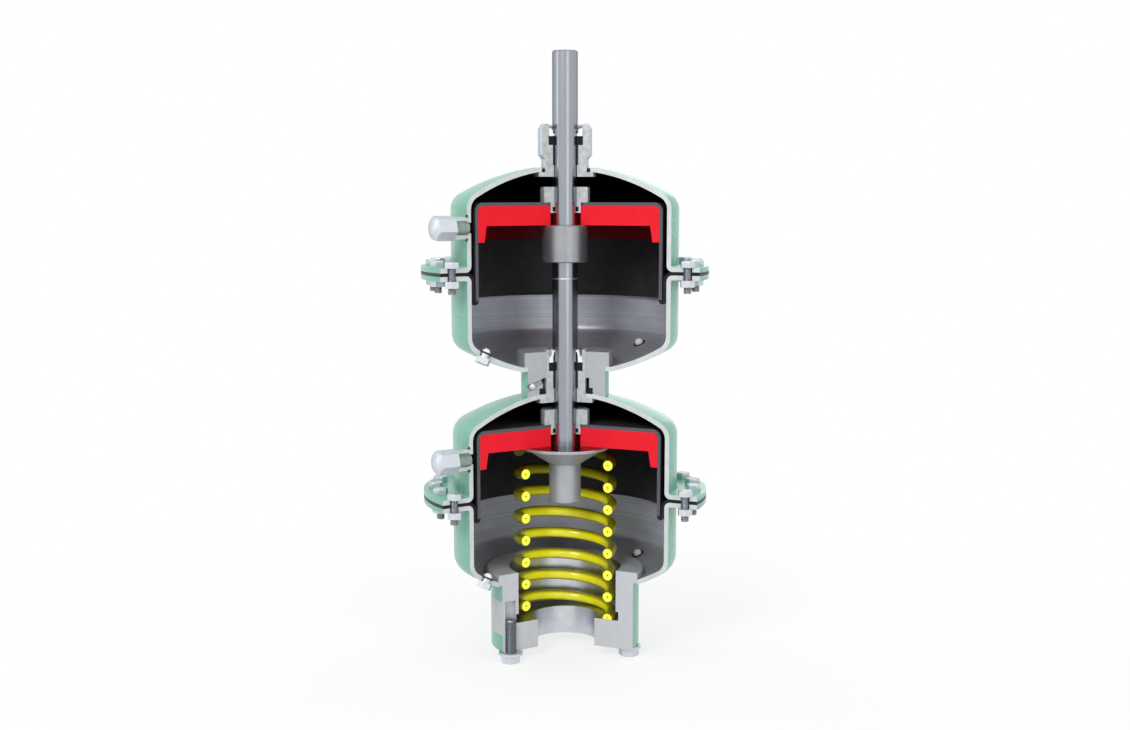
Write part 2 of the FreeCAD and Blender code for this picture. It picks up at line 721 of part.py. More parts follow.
def lower_rod():
    """Lower rod, from the spring seat up to the joint, with a stud at its foot and a bore at its top."""
    foot = lower_plate_foot()
    end = foot - STUD_LENGTH
    bore = STUD_R + THREAD_FIT
    bottom = ROD_JOINT - STUD_LENGTH - STUD_SPACE
    return whole(outline(
        (0, end),
        (STUD_R - JOINT_CHAMFER, end),
        (STUD_R, end + JOINT_CHAMFER),
        (STUD_R, foot),
        (ROD_R, foot),
        (ROD_R, ROD_JOINT - JOINT_CHAMFER),
        (ROD_R - JOINT_CHAMFER, ROD_JOINT),
        (bore, ROD_JOINT),
        (bore, bottom),
        (0, bottom)))


def rod_collar():
    """Collar on the upper rod that carries the upper plate."""
    top = UPPER_PARTING + PLATE_TOP - PLATE_THICK
    bottom = top - COLLAR_HEIGHT
    bore = ROD_R + THREAD_FIT
    edge = COLLAR_CHAMFER
    return whole(outline(
        (bore, bottom),
        (COLLAR_R - edge, bottom),
        (COLLAR_R, bottom + edge),
        (COLLAR_R, top - edge),
        (COLLAR_R - edge, top),
        (bore, top)))


def spring_seat():
    """Seat under the lower plate: a disc on the spring's top coil, a cone that starts inside the coil, and a
    stem, bored for the stud."""
    top = lower_plate_foot()
    rim = top - SEAT_RIM
    bore = STUD_R + THREAD_FIT
    bore_end = top - STUD_LENGTH - STUD_SPACE
    return whole(outline(
        (bore, top),
        (SEAT_R, top),
        (SEAT_R, rim),
        (SPRING_R - WIRE_R - SEAT_IN_COIL, rim),
        (SEAT_STEM_R, rim - SEAT_CONE),
        (SEAT_STEM_R, SEAT_STEM_BOTTOM + SEAT_STEM_EDGE),
        (SEAT_STEM_R - SEAT_STEM_EDGE, SEAT_STEM_BOTTOM),
        (0, SEAT_STEM_BOTTOM),
        (0, bore_end),
        (bore, bore_end)))


def chamber_parts(rise):
    """Pieces that both chambers have, in height from the parting plane, with the plate raised."""
    return {
        "diaphragm": [diaphragm(rise)],
        "flange_bolts": flange_bolts(),
        "flange_nuts": flange_nuts(),
        "port_boss": [port_boss()],
        "port_nipple": [port_nipple()],
        "port_cap": [port_cap()],
        "vent_plugs": vent_plugs(),
        "plate": [moved(plate(), rise)],
        "plate_nut": [moved(plate_nut(), rise)],
        "nut_o_ring": [moved(nut_o_ring(), rise)],
    }


def parts():
    """Every node's solids, by the node's name."""
    nodes = {}
    for side, parting, rise in (("upper", UPPER_PARTING, 0.0), ("lower", LOWER_PARTING, LOWER_PLATE_RISE)):
        for name, solids in chamber_parts(rise).items():
            nodes[f"{side}_{name}"] = [moved(solid, parting) for solid in solids]
    nodes["upper_cover"] = [moved(cover(COVER_HOLE_R), UPPER_PARTING)]
    nodes["lower_cover"] = [moved(cover(HUB_GLAND_R + SPIGOT_FIT), LOWER_PARTING)]
    nodes["upper_bowl"] = [moved(bowl(BOWL_SEAT_R, HUB_R + SPIGOT_FIT), UPPER_PARTING)]
    lower_hole = HOUSING_SHOULDER_R + SPIGOT_FIT
    nodes["lower_bowl"] = [moved(bowl(lower_hole, lower_hole), LOWER_PARTING)]
    nodes["top_gland"] = [top_gland()]
    section_r = TOP_O_RING_SECTION_R
    top_ring_r = (TOP_GLAND_NECK_R + COVER_HOLE_R) / 2
    nodes["top_gland_o_ring"] = [ring_of_section(top_ring_r, top_seat() + section_r, section_r)]
    bush_bore = ROD_R + RUNNING_FIT
    nodes["top_guide_bush"] = [ring(bush_bore, BUSH_R, TOP_BUSH_BOTTOM, TOP_SEAL_BOTTOM)]
    nodes["top_rod_seal"] = [ring(bush_bore, SEAL_R, TOP_SEAL_BOTTOM, TOP_SEAL_BOTTOM + SEAL_HEIGHT)]
    nodes["top_wiper"] = [top_wiper()]
    nodes["centre_hub"] = [centre_hub()]
    nodes["hub_vent_ball"] = [hub_vent_ball()]
    nodes["hub_gland"] = [hub_gland()]
    nodes["hub_guide_bush"] = [ring(bush_bore, BUSH_R, HUB_BUSH_BOTTOM, HUB_SEAL_BOTTOM)]
    nodes["hub_rod_seal"] = [ring(bush_bore, SEAL_R, HUB_SEAL_BOTTOM, HUB_SEAL_BOTTOM + SEAL_HEIGHT)]
    nodes["hub_wiper"] = [hub_wiper()]
    section_r = HUB_O_RING_SPACE / 2
    hub_ring_r = HUB_O_RING_R - SPIGOT_FIT - section_r
    nodes["hub_o_ring"] = [ring_of_section(hub_ring_r, hub_seat() + SHEET + section_r, section_r)]
    nodes["spring_housing"] = [spring_housing()]
    nodes["mounting_bolts"] = mounting_bolts()
    nodes["mounting_washers"] = mounting_washers()
    nodes["return_spring"] = return_spring()
    nodes["upper_rod"] = [upper_rod()]
    nodes["lower_rod"] = [lower_rod()]
    nodes["rod_collar"] = [rod_collar()]
    nodes["spring_seat"] = [spring_seat()]
    return nodes


os.makedirs("parts", exist_ok=True)
for node, solids in parts().items():
    shape = solids[0] if len(solids) == 1 else Part.makeCompound(solids)
    if not shape.isValid() or len(shape.Solids) != len(solids):
        raise ValueError(f"{node} is not {len(solids)} closed solids")
    shape.exportStep(f"parts/{node}.step")
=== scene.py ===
"""Looks of a sectioned tandem pneumatic diaphragm actuator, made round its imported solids.

Laid out as an add-on: sizes, colours and the studio are properties of the scene, every group of pieces has an
operator, and a panel in the sidebar lists them. Metres, +Z up the rod, in the part's own frame. Angles are about
the rod, from +X towards +Y. The cut leaves 240 degrees of what is sectioned, from the right face through the back
to the left face.
"""
import math

import bmesh
import bpy
import numpy as np
from bpy.props import FloatProperty, FloatVectorProperty, IntProperty, PointerProperty
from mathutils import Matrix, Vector


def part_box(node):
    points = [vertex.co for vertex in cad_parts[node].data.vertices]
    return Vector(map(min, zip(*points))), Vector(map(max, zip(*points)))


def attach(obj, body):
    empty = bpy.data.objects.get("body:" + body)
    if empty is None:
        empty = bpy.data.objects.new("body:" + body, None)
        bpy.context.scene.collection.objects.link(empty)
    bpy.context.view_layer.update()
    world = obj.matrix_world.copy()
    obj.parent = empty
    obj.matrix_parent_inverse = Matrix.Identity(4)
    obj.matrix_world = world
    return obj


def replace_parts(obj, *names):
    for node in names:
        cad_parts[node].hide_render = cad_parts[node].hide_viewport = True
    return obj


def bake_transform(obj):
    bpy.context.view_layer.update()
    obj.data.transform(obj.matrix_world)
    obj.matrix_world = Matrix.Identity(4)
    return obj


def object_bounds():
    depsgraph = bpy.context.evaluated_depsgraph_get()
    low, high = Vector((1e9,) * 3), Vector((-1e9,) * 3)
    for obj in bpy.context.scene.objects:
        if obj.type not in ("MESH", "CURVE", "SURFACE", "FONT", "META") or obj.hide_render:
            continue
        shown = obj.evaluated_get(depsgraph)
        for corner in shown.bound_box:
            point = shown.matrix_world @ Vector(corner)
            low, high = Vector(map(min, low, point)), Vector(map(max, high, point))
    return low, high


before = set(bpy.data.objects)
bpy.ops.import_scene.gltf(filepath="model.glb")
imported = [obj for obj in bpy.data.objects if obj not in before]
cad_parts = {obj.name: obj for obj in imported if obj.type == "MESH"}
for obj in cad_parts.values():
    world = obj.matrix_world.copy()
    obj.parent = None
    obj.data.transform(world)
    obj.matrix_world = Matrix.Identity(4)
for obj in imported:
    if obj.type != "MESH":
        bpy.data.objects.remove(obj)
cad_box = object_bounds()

bl_info = {
    "name": "Sectioned diaphragm actuator",
    "version": (1, 0, 0),
    "blender": (4, 5, 0),
    "location": "3D View > Sidebar > Actuator",
    "description": "Dresses the packed solids of a tandem diaphragm actuator and sets up its studio",
    "category": "Object",
}

MM = 0.001
RIGHT_FACE = math.radians(-15)
LEFT_FACE = math.radians(225)
SIDES = ("upper", "lower")

# Finishes that several groups of pieces wear
ZINC, RUBBER, ACETAL = "bright_zinc_plate", "moulded_nitrile_rubber", "white_acetal"

# Outward directions of the two flat faces of the cut
FACE_NORMALS = (
    (math.cos(LEFT_FACE + math.pi / 2), math.sin(LEFT_FACE + math.pi / 2), 0.0),
    (math.cos(RIGHT_FACE - math.pi / 2), math.sin(RIGHT_FACE - math.pi / 2), 0.0),
)

# How near a point lies to a face of the cut that it is on, and how well its normal agrees with the face's
IN_PLANE, ALIGNED = 0.06 * MM, 0.97

# The middle span of a noise, which holds nearly all of it
NOISE_LOW, NOISE_HIGH = 0.3, 0.7

# Painted shade darkens a bowl's crown between these depths under its parting plane
CROWN_SHADE_FROM, CROWN_SHADE_TO = 58 * MM, 74 * MM

# Mint enamel on the turned parts lies outside this radius and below this height
HUB_PAINT, HOUSING_PAINT = (43.5 * MM, 283 * MM), (74.5 * MM, 68 * MM)

# The housing's bare patch lies left of this x, between these heights, and its honed bore within this radius
HOUSING_BARE_PATCH, HOUSING_BORE = (-53 * MM, 18 * MM, 52 * MM), 56.8 * MM

# Half the height of the dull ring where the rods meet, and its linear colour, a painted highlight of their broken
# edges
ROD_JOINT, JOINT_HIGHLIGHT = 0.8 * MM, (0.78, 0.8, 0.83, 1.0)

# Radii over which the plates' red goes from painted light near the middle to painted shade at the skirt
RED_SHADE_RADII = (28 * MM, 80 * MM)

# Depths under the spring's top between which painted shade under the seat darkens it
SEAT_SHADE_FROM, SEAT_SHADE_TO = 60 * MM, 10 * MM

# Rows of a diaphragm round the axis, sides of the spring's wire, and the rings on a coil's flat end in wire radii
SWEEP_ROWS, WIRE_SIDES, END_RINGS = 121, 28, (0.92, 0.14)

# Hexagon screws M8 and M12: width across flats, head, shank radius and pitch
FLANGE_SCREW = (13 * MM, 6 * MM, 4 * MM, 1.25 * MM)
MOUNTING_SCREW = (18 * MM, 8 * MM, 6 * MM, 1.75 * MM)

# A head's chamfer in widths across flats: radius of the flat top and depths of the rows, and the cone's slope
CHAMFER_TOP, CHAMFER_DROPS, CHAMFER_SLOPE = 0.475, (0.0, 0.02, 0.045, 0.07, 0.1), math.radians(30)

# Depth of a thread in pitches, and rows of points in one turn of it
THREAD_DEPTH, THREAD_ROWS = 0.6134, 6

# Angle between flange screws, and how many the cut leaves
BOLT_STEP, BOLTS_LEFT = math.radians(15), 17

# A weld bead's radius, how much its ripples add and how many there would be in a full turn
BEAD_R, BEAD_RIPPLE, BEAD_RIPPLES = 2.1 * MM, 0.22 * MM, 26

# A vent's grommet from the plug's side: its gap and outer edge; how deep its foot goes; and its ball's rise
GROMMET_FIT, GROMMET_WIDTH, GROMMET_DEPTH, BALL_RISE = 0.15 * MM, 2.3 * MM, 0.4 * MM, 1.2 * MM

# Half the floor's width, and its glow for the camera: from and to these radii it grows between these levels
FLOOR_REACH, FLOOR_GLOW = 30.0, (0.2, 0.7, 0.72, 1.0)

# Where all lamps point, and the photograph's camera: where it stands and looks, its lens and upward shift
LAMP_TARGET = (0.0, 0.0, 0.3)
CAMERA_PLACE = (0.2823, -1.5277, 0.4548)
CAMERA_TARGET = (0.0, 0.0, 0.2216)
CAMERA_AZIMUTH = math.atan2(CAMERA_PLACE[0], -CAMERA_PLACE[1])
CAMERA_SENSOR, CAMERA_LENS, CAMERA_SHIFT = 36.0, 49.83, 62.5 / 1130


def linear(code):
    """An sRGB hex colour as three linear values."""
    parts = [int(code[k:k + 2], 16) / 255 for k in (1, 3, 5)]
    return tuple(c / 12.92 if c <= 0.04045 else ((c + 0.055) / 1.055) ** 2.4 for c in parts)


def length(name, description, millimetres):
    """A size property, shown as a length."""
    return FloatProperty(name=name, description=description, default=millimetres * MM, min=0, unit="LENGTH",
                         precision=5)


def level_of(name, description, value):
    """A lamp's or the surround's level; 1 lights a white card that faces it to white."""
    return FloatProperty(name=name, description=description, default=value, min=0)


def colour(name, description, code):
    """A colour property with its default as an sRGB hex value."""
    return FloatVectorProperty(name=name, description=description, default=linear(code), size=3, min=0, max=1,
                               subtype="COLOR")


class ActuatorSizes(bpy.types.PropertyGroup):
    """Sizes of the pieces that are made here: those of the solids, but for the lower fold's rise."""
    rubber: length("Rubber", "Thickness of the rolling diaphragms", 3.4)
    casing_r: length("Casing bore", "Inner radius of the casing walls", 107.9)
    plate_r: length("Plate side", "Radius on which a diaphragm lies against its plate", 100.0)
    plate_top: length("Plate top", "Height of a plate's top above its parting plane", 64.1)
    lower_plate_rise: length("Lower plate rise", "How much higher the lower plate sits in its chamber", 2.5)
    lower_fold_rise: length("Lower fold rise", "How much shorter the lower diaphragm's limbs are", 8.5)
    plate_corner: length("Plate corner", "Radius of a plate's top edge", 5.0)
    diaphragm_hole_r: length("Diaphragm hole", "Radius of the hole for the plate nut's neck", 18.5)
    fold_depth: length("Fold depth", "How far a fold hangs below its parting plane", 29.7)
    flange_r: length("Flange", "Outer radius of the casing flanges", 142.0)
    flange_bend: length("Flange bend", "Inner radius of the bend at a flange's root", 6.0)
    sheet: length("Sheet", "Thickness of the pressed casings", 4.5)
    crown_centre: length("Crown centre", "How far a crown's centre lies beyond its parting plane", 106.0)
    bolt_circle_r: length("Bolt circle", "Radius of the flange bolts' circle", 129.75)
    bolt_length: length("Bolt length", "Length of a flange bolt under its head", 25.0)
    mount_circle_r: length("Mounting circle", "Radius of the mounting bolts' circle", 66.0)
    mount_bolt_length: length("Mounting bolt length", "Length of a mounting bolt under its head", 35.5)
    spring_r: length("Spring radius", "Mean radius of the return spring", 47.2)
    wire_r: length("Wire radius", "Radius of the spring's wire", 5.5)
    coil_pitch: length("Coil pitch", "Rise of the spring in one turn", 22.4)
    first_coil_z: length("First coil", "Height of the wire's centre at the spring's foot", 29.3)
    coil_count: IntProperty(name="Coils", description="Turns of the spring that the cut opens", default=8, min=2)
    last_coil_sweep: FloatProperty(name="Last coil", description="Angle that the last coil runs through",
                                   default=math.radians(218), subtype="ANGLE")
    port_height: length("Air port", "Height of an air port above its parting plane", 43.7)
    port_boss_r: length("Port boss", "Radius of the boss welded round an air port", 10.5)
    crown_r: length("Crown", "Inner radius of a casing's crown", 205.0)
    vent_r: length("Vent plugs", "Distance of a bowl's vent plugs from the axis, on its inside", 93.0)
    vent_body_r: length("Vent body", "Radius of a vent plug's domed end", 4.2)


class ActuatorColours(bpy.types.PropertyGroup):
    """Colours of the finishes."""
    mint: colour("Mint enamel", "Outside of the casings", "#7AB4A0")
    cut_steel: colour("Cut steel", "Fresh faces of the cut through pressed steel", "#D2D8D8")
    # Painted shade: the covers' inside is black for the shade inside their closed domes
    cover_shade_black: colour("Black coating", "Inside of the covers", "#19191D")
    bowl_steel: colour("Bowl steel", "Bare inside of the bowls", "#D2D6DF")
    turned_steel: colour("Turned steel", "Hub, spring housing, collar and seat", "#B2B5BA")
    zinc: colour("Zinc plate", "Glands, nuts, bolts and fittings", "#D0D6DD")
    rod_steel: colour("Rod steel", "Ground and polished rods", "#9EA2AA")
    red: colour("Red enamel", "Diaphragm plates", "#E41B2B")
    rubber: colour("Rubber", "Moulded skin of the rubber", "#2F2F33")
    rubber_cut: colour("Cut rubber", "Faces of the cut through the rubber", "#15161A")
    cord_cut: colour("Cut cord", "Faces of the cut through the diaphragms where their cord shows", "#55545C")
    nylon: colour("Filled nylon", "Guide bushes", "#26262B")
    acetal: colour("White acetal", "Wipers", "#F4F5F4")
    thread_steel: colour("Oiled thread", "Threaded shanks of the mounting bolts", "#8C9098")
    plated_thread: colour("Plated thread", "Threaded shanks of the flange bolts", "#A6AAB0")
    phosphate: colour("Phosphated steel", "Nipples of the air ports", "#8C9F97")
    # Painted shade: the weld beads' cut ends are dark as the corner between boss and wall
    scale: colour("Weld scale", "Cut ends of the weld beads", "#23302B")
    yellow_cut: colour("Cut spring ends", "Painted faces of the cut through the coils", "#FFFF50")
    yellow: colour("Yellow powder coat", "Return spring", "#FCF620")


class ActuatorStudio(bpy.types.PropertyGroup):
    """Light and floor of the studio."""
    world_level: level_of("Surround", "Level of the light from all round", 0.27)
    key: level_of("Key", "Light on a white card that faces the key", 0.46)
    fill: level_of("Fill", "Light on a white card that faces the fill", 0.25)
    top: level_of("Top", "Light on a white card that faces up", 0.22)
    back: level_of("Back", "Light on a white card that faces either back lamp", 0.27)
    strips: level_of("Strips", "Light on a white card that faces a strip that polished metal mirrors", 0.09)
    floor: colour("Floor", "Pale studio floor", "#F6F6F6")


def parting(side):
    """Height of a chamber's parting plane: half a rubber's thickness under the cover's rim."""
    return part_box(f"{side}_cover")[0].z - bpy.context.scene.actuator_sizes.rubber / 2


def add_node(tree, kind, inputs=None, **settings):
    """One node with its settings; inputs gives its sockets, by name or number, values or links."""
    node = tree.nodes.new(kind)
    for key, value in settings.items():
        setattr(node, key, value)
    for key, value in (inputs or {}).items():
        if isinstance(value, bpy.types.NodeSocket):
            tree.links.new(value, node.inputs[key])
        else:
            node.inputs[key].default_value = value
    return node


def opaque(values):
    """A colour property as the four values that a socket takes."""
    return (*values, 1.0)


def new_finish(name):
    """An empty material with one Principled shader: the material, its tree, the shader and the object point."""
    material = bpy.data.materials.new(name)
    material.use_nodes = True
    tree = material.node_tree
    tree.nodes.clear()
    shader = add_node(tree, "ShaderNodeBsdfPrincipled")
    add_node(tree, "ShaderNodeOutputMaterial", {"Surface": shader.outputs[0]})
    return material, tree, shader, add_node(tree, "ShaderNodeTexCoord").outputs["Object"]


def on_cut_face(tree, point):
    """1 on the two flat faces of the cut and 0 elsewhere: there the point lies in the face's plane, which passes
    through the rod's axis, and the true normal is that of the face."""
    normal = add_node(tree, "ShaderNodeNewGeometry").outputs["True Normal"]
    hits = []
    for direction in FACE_NORMALS:
        facing = add_node(tree, "ShaderNodeVectorMath", {0: normal, 1: direction}, operation="DOT_PRODUCT")
        offset = add_node(tree, "ShaderNodeVectorMath", {0: point, 1: direction}, operation="DOT_PRODUCT")
        near = add_node(tree, "ShaderNodeMath", {0: offset.outputs["Value"], 1: 0.0, 2: IN_PLANE},
                        operation="COMPARE")
        aligned = add_node(tree, "ShaderNodeMath", {0: facing.outputs["Value"], 1: ALIGNED}, operation="GREATER_THAN")
        hits.append(add_node(tree, "ShaderNodeMath", {0: near.outputs[0], 1: aligned.outputs[0]},
                             operation="MULTIPLY").outputs[0])
    return add_node(tree, "ShaderNodeMath", {0: hits[0], 1: hits[1]}, operation="MAXIMUM").outputs[0]


def facing_centre(tree, point, height):
    """1 where a pressed shell faces the centre of its own crown, at this height on the axis: its inside."""
    normal = add_node(tree, "ShaderNodeNewGeometry").outputs["True Normal"]
    away = add_node(tree, "ShaderNodeVectorMath", {0: point, 1: (0, 0, height)}, operation="SUBTRACT")
    facing = add_node(tree, "ShaderNodeVectorMath", {0: normal, 1: away.outputs[0]}, operation="DOT_PRODUCT")
    return add_node(tree, "ShaderNodeMath", {0: facing.outputs["Value"], 1: 0.0}, operation="LESS_THAN").outputs[0]


def radius_and_height(tree, point):
    """The point's distance from the rod's axis and its height, as sockets."""
    flat = add_node(tree, "ShaderNodeVectorMath", {0: point, 1: (1, 1, 0)}, operation="MULTIPLY")
    radius = add_node(tree, "ShaderNodeVectorMath", {0: flat.outputs[0]}, operation="LENGTH").outputs["Value"]
    return radius, add_node(tree, "ShaderNodeSeparateXYZ", {0: point}).outputs["Z"]


def mottled(tree, point, size, low, high, detail=3.0):
    """A value that wanders between low and high in soft patches of this size in millimetres."""
    noise = add_node(tree, "ShaderNodeTexNoise", {"Vector": point, "Scale": 1 / (size * MM), "Detail": detail})
    return add_node(tree, "ShaderNodeMapRange", {0: noise.outputs["Fac"], 1: NOISE_LOW, 2: NOISE_HIGH, 3: low,
                                                 4: high}).outputs[0]


def lathe_marks(tree, point, feed):
    """Height of turned tool marks: noise that changes along the radius and the height but not round the axis,
    at this feed in millimetres, drawn wider than a real 0.15 mm feed so that it shows."""
    radius, height = radius_and_height(tree, point)
    across = add_node(tree, "ShaderNodeCombineXYZ", {0: radius, 1: height})
    noise = add_node(tree, "ShaderNodeTexNoise", {"Vector": across.outputs[0], "Scale": 1 / (feed * MM),
                                                  "Detail": 1.0})
    return noise.outputs["Fac"]


def cutter_marks(tree, point):
    """Height of the saw's and mill's marks on a face of the cut: noise stretched along the level, 0.5 mm apart."""
    stretched = add_node(tree, "ShaderNodeMapping", {"Vector": point, "Scale": (0.03, 0.03, 1.0)})
    noise = add_node(tree, "ShaderNodeTexNoise", {"Vector": stretched.outputs[0], "Scale": 1 / (0.5 * MM),
                                                  "Detail": 2.0})
    return noise.outputs["Fac"]


def tinted(tree, colour_in, shade):
    """A colour or colour socket brightened or darkened by a value or value socket."""
    base = colour_in if isinstance(colour_in, bpy.types.NodeSocket) else tuple(colour_in[:3])
    return add_node(tree, "ShaderNodeVectorMath", {0: base, "Scale": shade}, operation="SCALE").outputs[0]


def patchy(tree, colour_in, point, *patches):
    """A colour mottled in lightness, by the patches' size, low, high and, where it is given, detail."""
    return tinted(tree, colour_in, mottled(tree, point, *patches))


def layered(tree, shader, ground, *coats):
    """Colour, roughness and metal of a surface: the ground's three, and over it each coat where its mask is 1."""
    colour_now, rough_now, metal_now = ground
    for mask, coat_colour, coat_rough, coat_metal in coats:
        colour_now = add_node(tree, "ShaderNodeMix", {0: mask, 6: colour_now, 7: coat_colour},
                              data_type="RGBA").outputs[2]
        rough_now = add_node(tree, "ShaderNodeMix", {0: mask, 2: rough_now, 3: coat_rough}).outputs[0]
        metal_now = add_node(tree, "ShaderNodeMix", {0: mask, 2: metal_now, 3: coat_metal}).outputs[0]
    for socket, value in (("Base Color", colour_now), ("Roughness", rough_now), ("Metallic", metal_now)):
        if isinstance(value, bpy.types.NodeSocket):
            tree.links.new(value, shader.inputs[socket])
        else:
            shader.inputs[socket].default_value = value


def mirroring(shader, level, edge=1.0):
    """How strongly a surface mirrors its surround: the level of an enamel's or rubber's gloss, where 0.5 is plain
    glass, and what is left of a metal's mirror at its rim, where the real one dips before it turns white."""
    shader.inputs["Specular IOR Level"].default_value = level
    shader.inputs["Specular Tint"].default_value = (edge, edge, edge, 1.0)


def raised(tree, shader, height, depth, edge=0.0):
    """Relief of this depth in millimetres from a height of 0 to 1, over edges rounded by a radius in millimetres."""
    inputs = {"Height": height, "Distance": depth * MM, "Strength": 1.0}
    if edge:
        inputs["Normal"] = add_node(tree, "ShaderNodeBevel", {"Radius": edge * MM}, samples=4).outputs[0]
    tree.links.new(add_node(tree, "ShaderNodeBump", inputs).outputs[0], shader.inputs["Normal"])


def casing_finish(name, level, centre_z, covered):
    """Pressed mild steel sheet: stove enamel outside, milled bright on the cut, and inside black on a cover, as
    painted shade of its closed dome, and bare steel on a bowl, with painted shade darkening its crown. Enamel gives
    the eye a wet gloss with a faint orange peel."""
    hues = bpy.context.scene.actuator_colours
    material, tree, shader, point = new_finish(name)
    inside = facing_centre(tree, point, centre_z)
    drawn = lathe_marks(tree, point, 2.4)
    if covered:
        # A cover's black inside is painted shade of its closed dome
        lining = (inside, opaque(hues.cover_shade_black), mottled(tree, point, 4, 0.42, 0.6), 0.0)
    else:
        streak = add_node(tree, "ShaderNodeMapRange", {0: drawn, 1: NOISE_LOW, 2: NOISE_HIGH, 3: 0.86, 4: 1.1})
        # Painted shade: the bare steel darkens towards the bowl's crown
        crown_shade = add_node(tree, "ShaderNodeMapRange", {0: radius_and_height(tree, point)[1], 1: level - CROWN_SHADE_TO,
                                                    2: level - CROWN_SHADE_FROM, 3: 0.55, 4: 1.0},
                       interpolation_type="SMOOTHSTEP")
        bare = tinted(tree, patchy(tree, hues.bowl_steel, point, 22, 0.92, 1.06), streak.outputs[0])
        lining = (inside, tinted(tree, bare, crown_shade.outputs[0]), mottled(tree, point, 9, 0.36, 0.46), 0.4)
    enamel = patchy(tree, hues.mint, point, 35, 0.985, 1.015, 1.0)
    cut = (on_cut_face(tree, point), patchy(tree, hues.cut_steel, point, 14, 0.84, 0.96), 0.45, 0.2)
    layered(tree, shader, (enamel, mottled(tree, point, 14, 0.25, 0.28, 1.0), 0.0), lining, cut)
    mirroring(shader, 0.25)
    peel = mottled(tree, point, 7, 0.0, 1.0, 1.0)
    raised(tree, shader, add_node(tree, "ShaderNodeMix", {0: inside, 2: peel, 3: drawn}).outputs[0], 0.004)
    return material


def turned_finish(name, shade=1.0, metal=0.45, paint=None, bare_patch=None, polished_above=None, honed_within=None):
    """Free-cutting steel, turned: satin grey with fine rings round the axis, brighter and flat on the cut. The shade
    is painted light and shade, lightening or darkening the steel by how much light reaches each part; metal is the
    share that mirrors. Paint gives the radius outside which, and the height below which, mint enamel covers it, but
    for a patch (x, low, high) on its left, left of x and between two heights, that is left bare. Above
    polished_above it is lapped to a mirror, and within the radius honed_within it is honed bright."""
    hues = bpy.context.scene.actuator_colours
    material, tree, shader, point = new_finish(name)
    radius, height = radius_and_height(tree, point)
    coats = []
    if polished_above is not None:
        lapped = add_node(tree, "ShaderNodeMath", {0: height, 1: polished_above}, operation="GREATER_THAN")
        coats.append((lapped.outputs[0], patchy(tree, hues.turned_steel, point, 9, 1.25, 1.4), 0.14, 1.0))
    if honed_within is not None:
        bore = add_node(tree, "ShaderNodeMath", {0: radius, 1: honed_within}, operation="LESS_THAN")
        coats.append((bore.outputs[0], patchy(tree, hues.turned_steel, point, 9, 1.3, 1.5), 0.3, 1.0))
    if paint is not None:
        outside = add_node(tree, "ShaderNodeMath", {0: radius, 1: paint[0]}, operation="GREATER_THAN")
        below = add_node(tree, "ShaderNodeMath", {0: height, 1: paint[1]}, operation="LESS_THAN")
        mask = add_node(tree, "ShaderNodeMath", {0: outside.outputs[0], 1: below.outputs[0]}, operation="MULTIPLY")
        # A patch on the left, between two heights, is left bare steel, lighter than the enamel round it
        if bare_patch:
            across = add_node(tree, "ShaderNodeSeparateXYZ", {0: point}).outputs["X"]
            left = add_node(tree, "ShaderNodeMath", {0: across, 1: bare_patch[0]}, operation="LESS_THAN")
            level = add_node(tree, "ShaderNodeMath", {0: height, 1: (bare_patch[1] + bare_patch[2]) / 2, 2: (bare_patch[2] - bare_patch[1]) / 2},
                             operation="COMPARE")
            both = add_node(tree, "ShaderNodeMath", {0: left.outputs[0], 1: level.outputs[0]}, operation="MULTIPLY")
            mask = add_node(tree, "ShaderNodeMath", {0: mask.outputs[0], 1: both.outputs[0]}, operation="SUBTRACT",
                            use_clamp=True)
        coats.append((mask.outputs[0], patchy(tree, hues.mint, point, 35, 0.96, 1.04), 0.26, 0.0))
    cut = on_cut_face(tree, point)
    coats.append((cut, patchy(tree, hues.turned_steel, point, 8, 1.04 * shade, 1.1 * shade), 0.45, 0.2))
    steel = patchy(tree, hues.turned_steel, point, 15, 0.94 * shade, 1.05 * shade)
    layered(tree, shader, (steel, mottled(tree, point, 6, 0.32, 0.42), metal), *coats)
    mirroring(shader, 0.3, 0.5)
    relief = add_node(tree, "ShaderNodeMix", {0: cut, 2: lathe_marks(tree, point, 0.7), 3: cutter_marks(tree, point)})
    raised(tree, shader, relief.outputs[0], 0.02, edge=0.4)
    return material


def zinc_finish(name):
    """Bright zinc plate on turned and forged steel: pale, faintly blue and nearly even, satin grey on the cut."""
    hues = bpy.context.scene.actuator_colours
    material, tree, shader, point = new_finish(name)
    plate = patchy(tree, hues.zinc, point, 5, 0.97, 1.02, 0.0)
    cut = (on_cut_face(tree, point), patchy(tree, hues.cut_steel, point, 5, 0.6, 0.86), 0.45, 0.2)
    layered(tree, shader, (plate, mottled(tree, point, 6, 0.3, 0.34, 0.0), 0.55), cut)
    mirroring(shader, 0.4, 0.4)
    raised(tree, shader, lathe_marks(tree, point, 0.6), 0.003)
    return material


def thread_finish(name, hue):
    """Rolled or machined steel under a thin film: darker and duller than bright plate, with its ridges catching the
    light."""
    material, tree, shader, point = new_finish(name)
    steel = patchy(tree, hue, point, 2.5, 0.85, 1.12)
    layered(tree, shader, (steel, mottled(tree, point, 1.5, 0.3, 0.45), 0.75))
    mirroring(shader, 0.4, 0.4)
    raised(tree, shader, mottled(tree, point, 0.5, 0, 1, 1.0), 0.01)
    return material


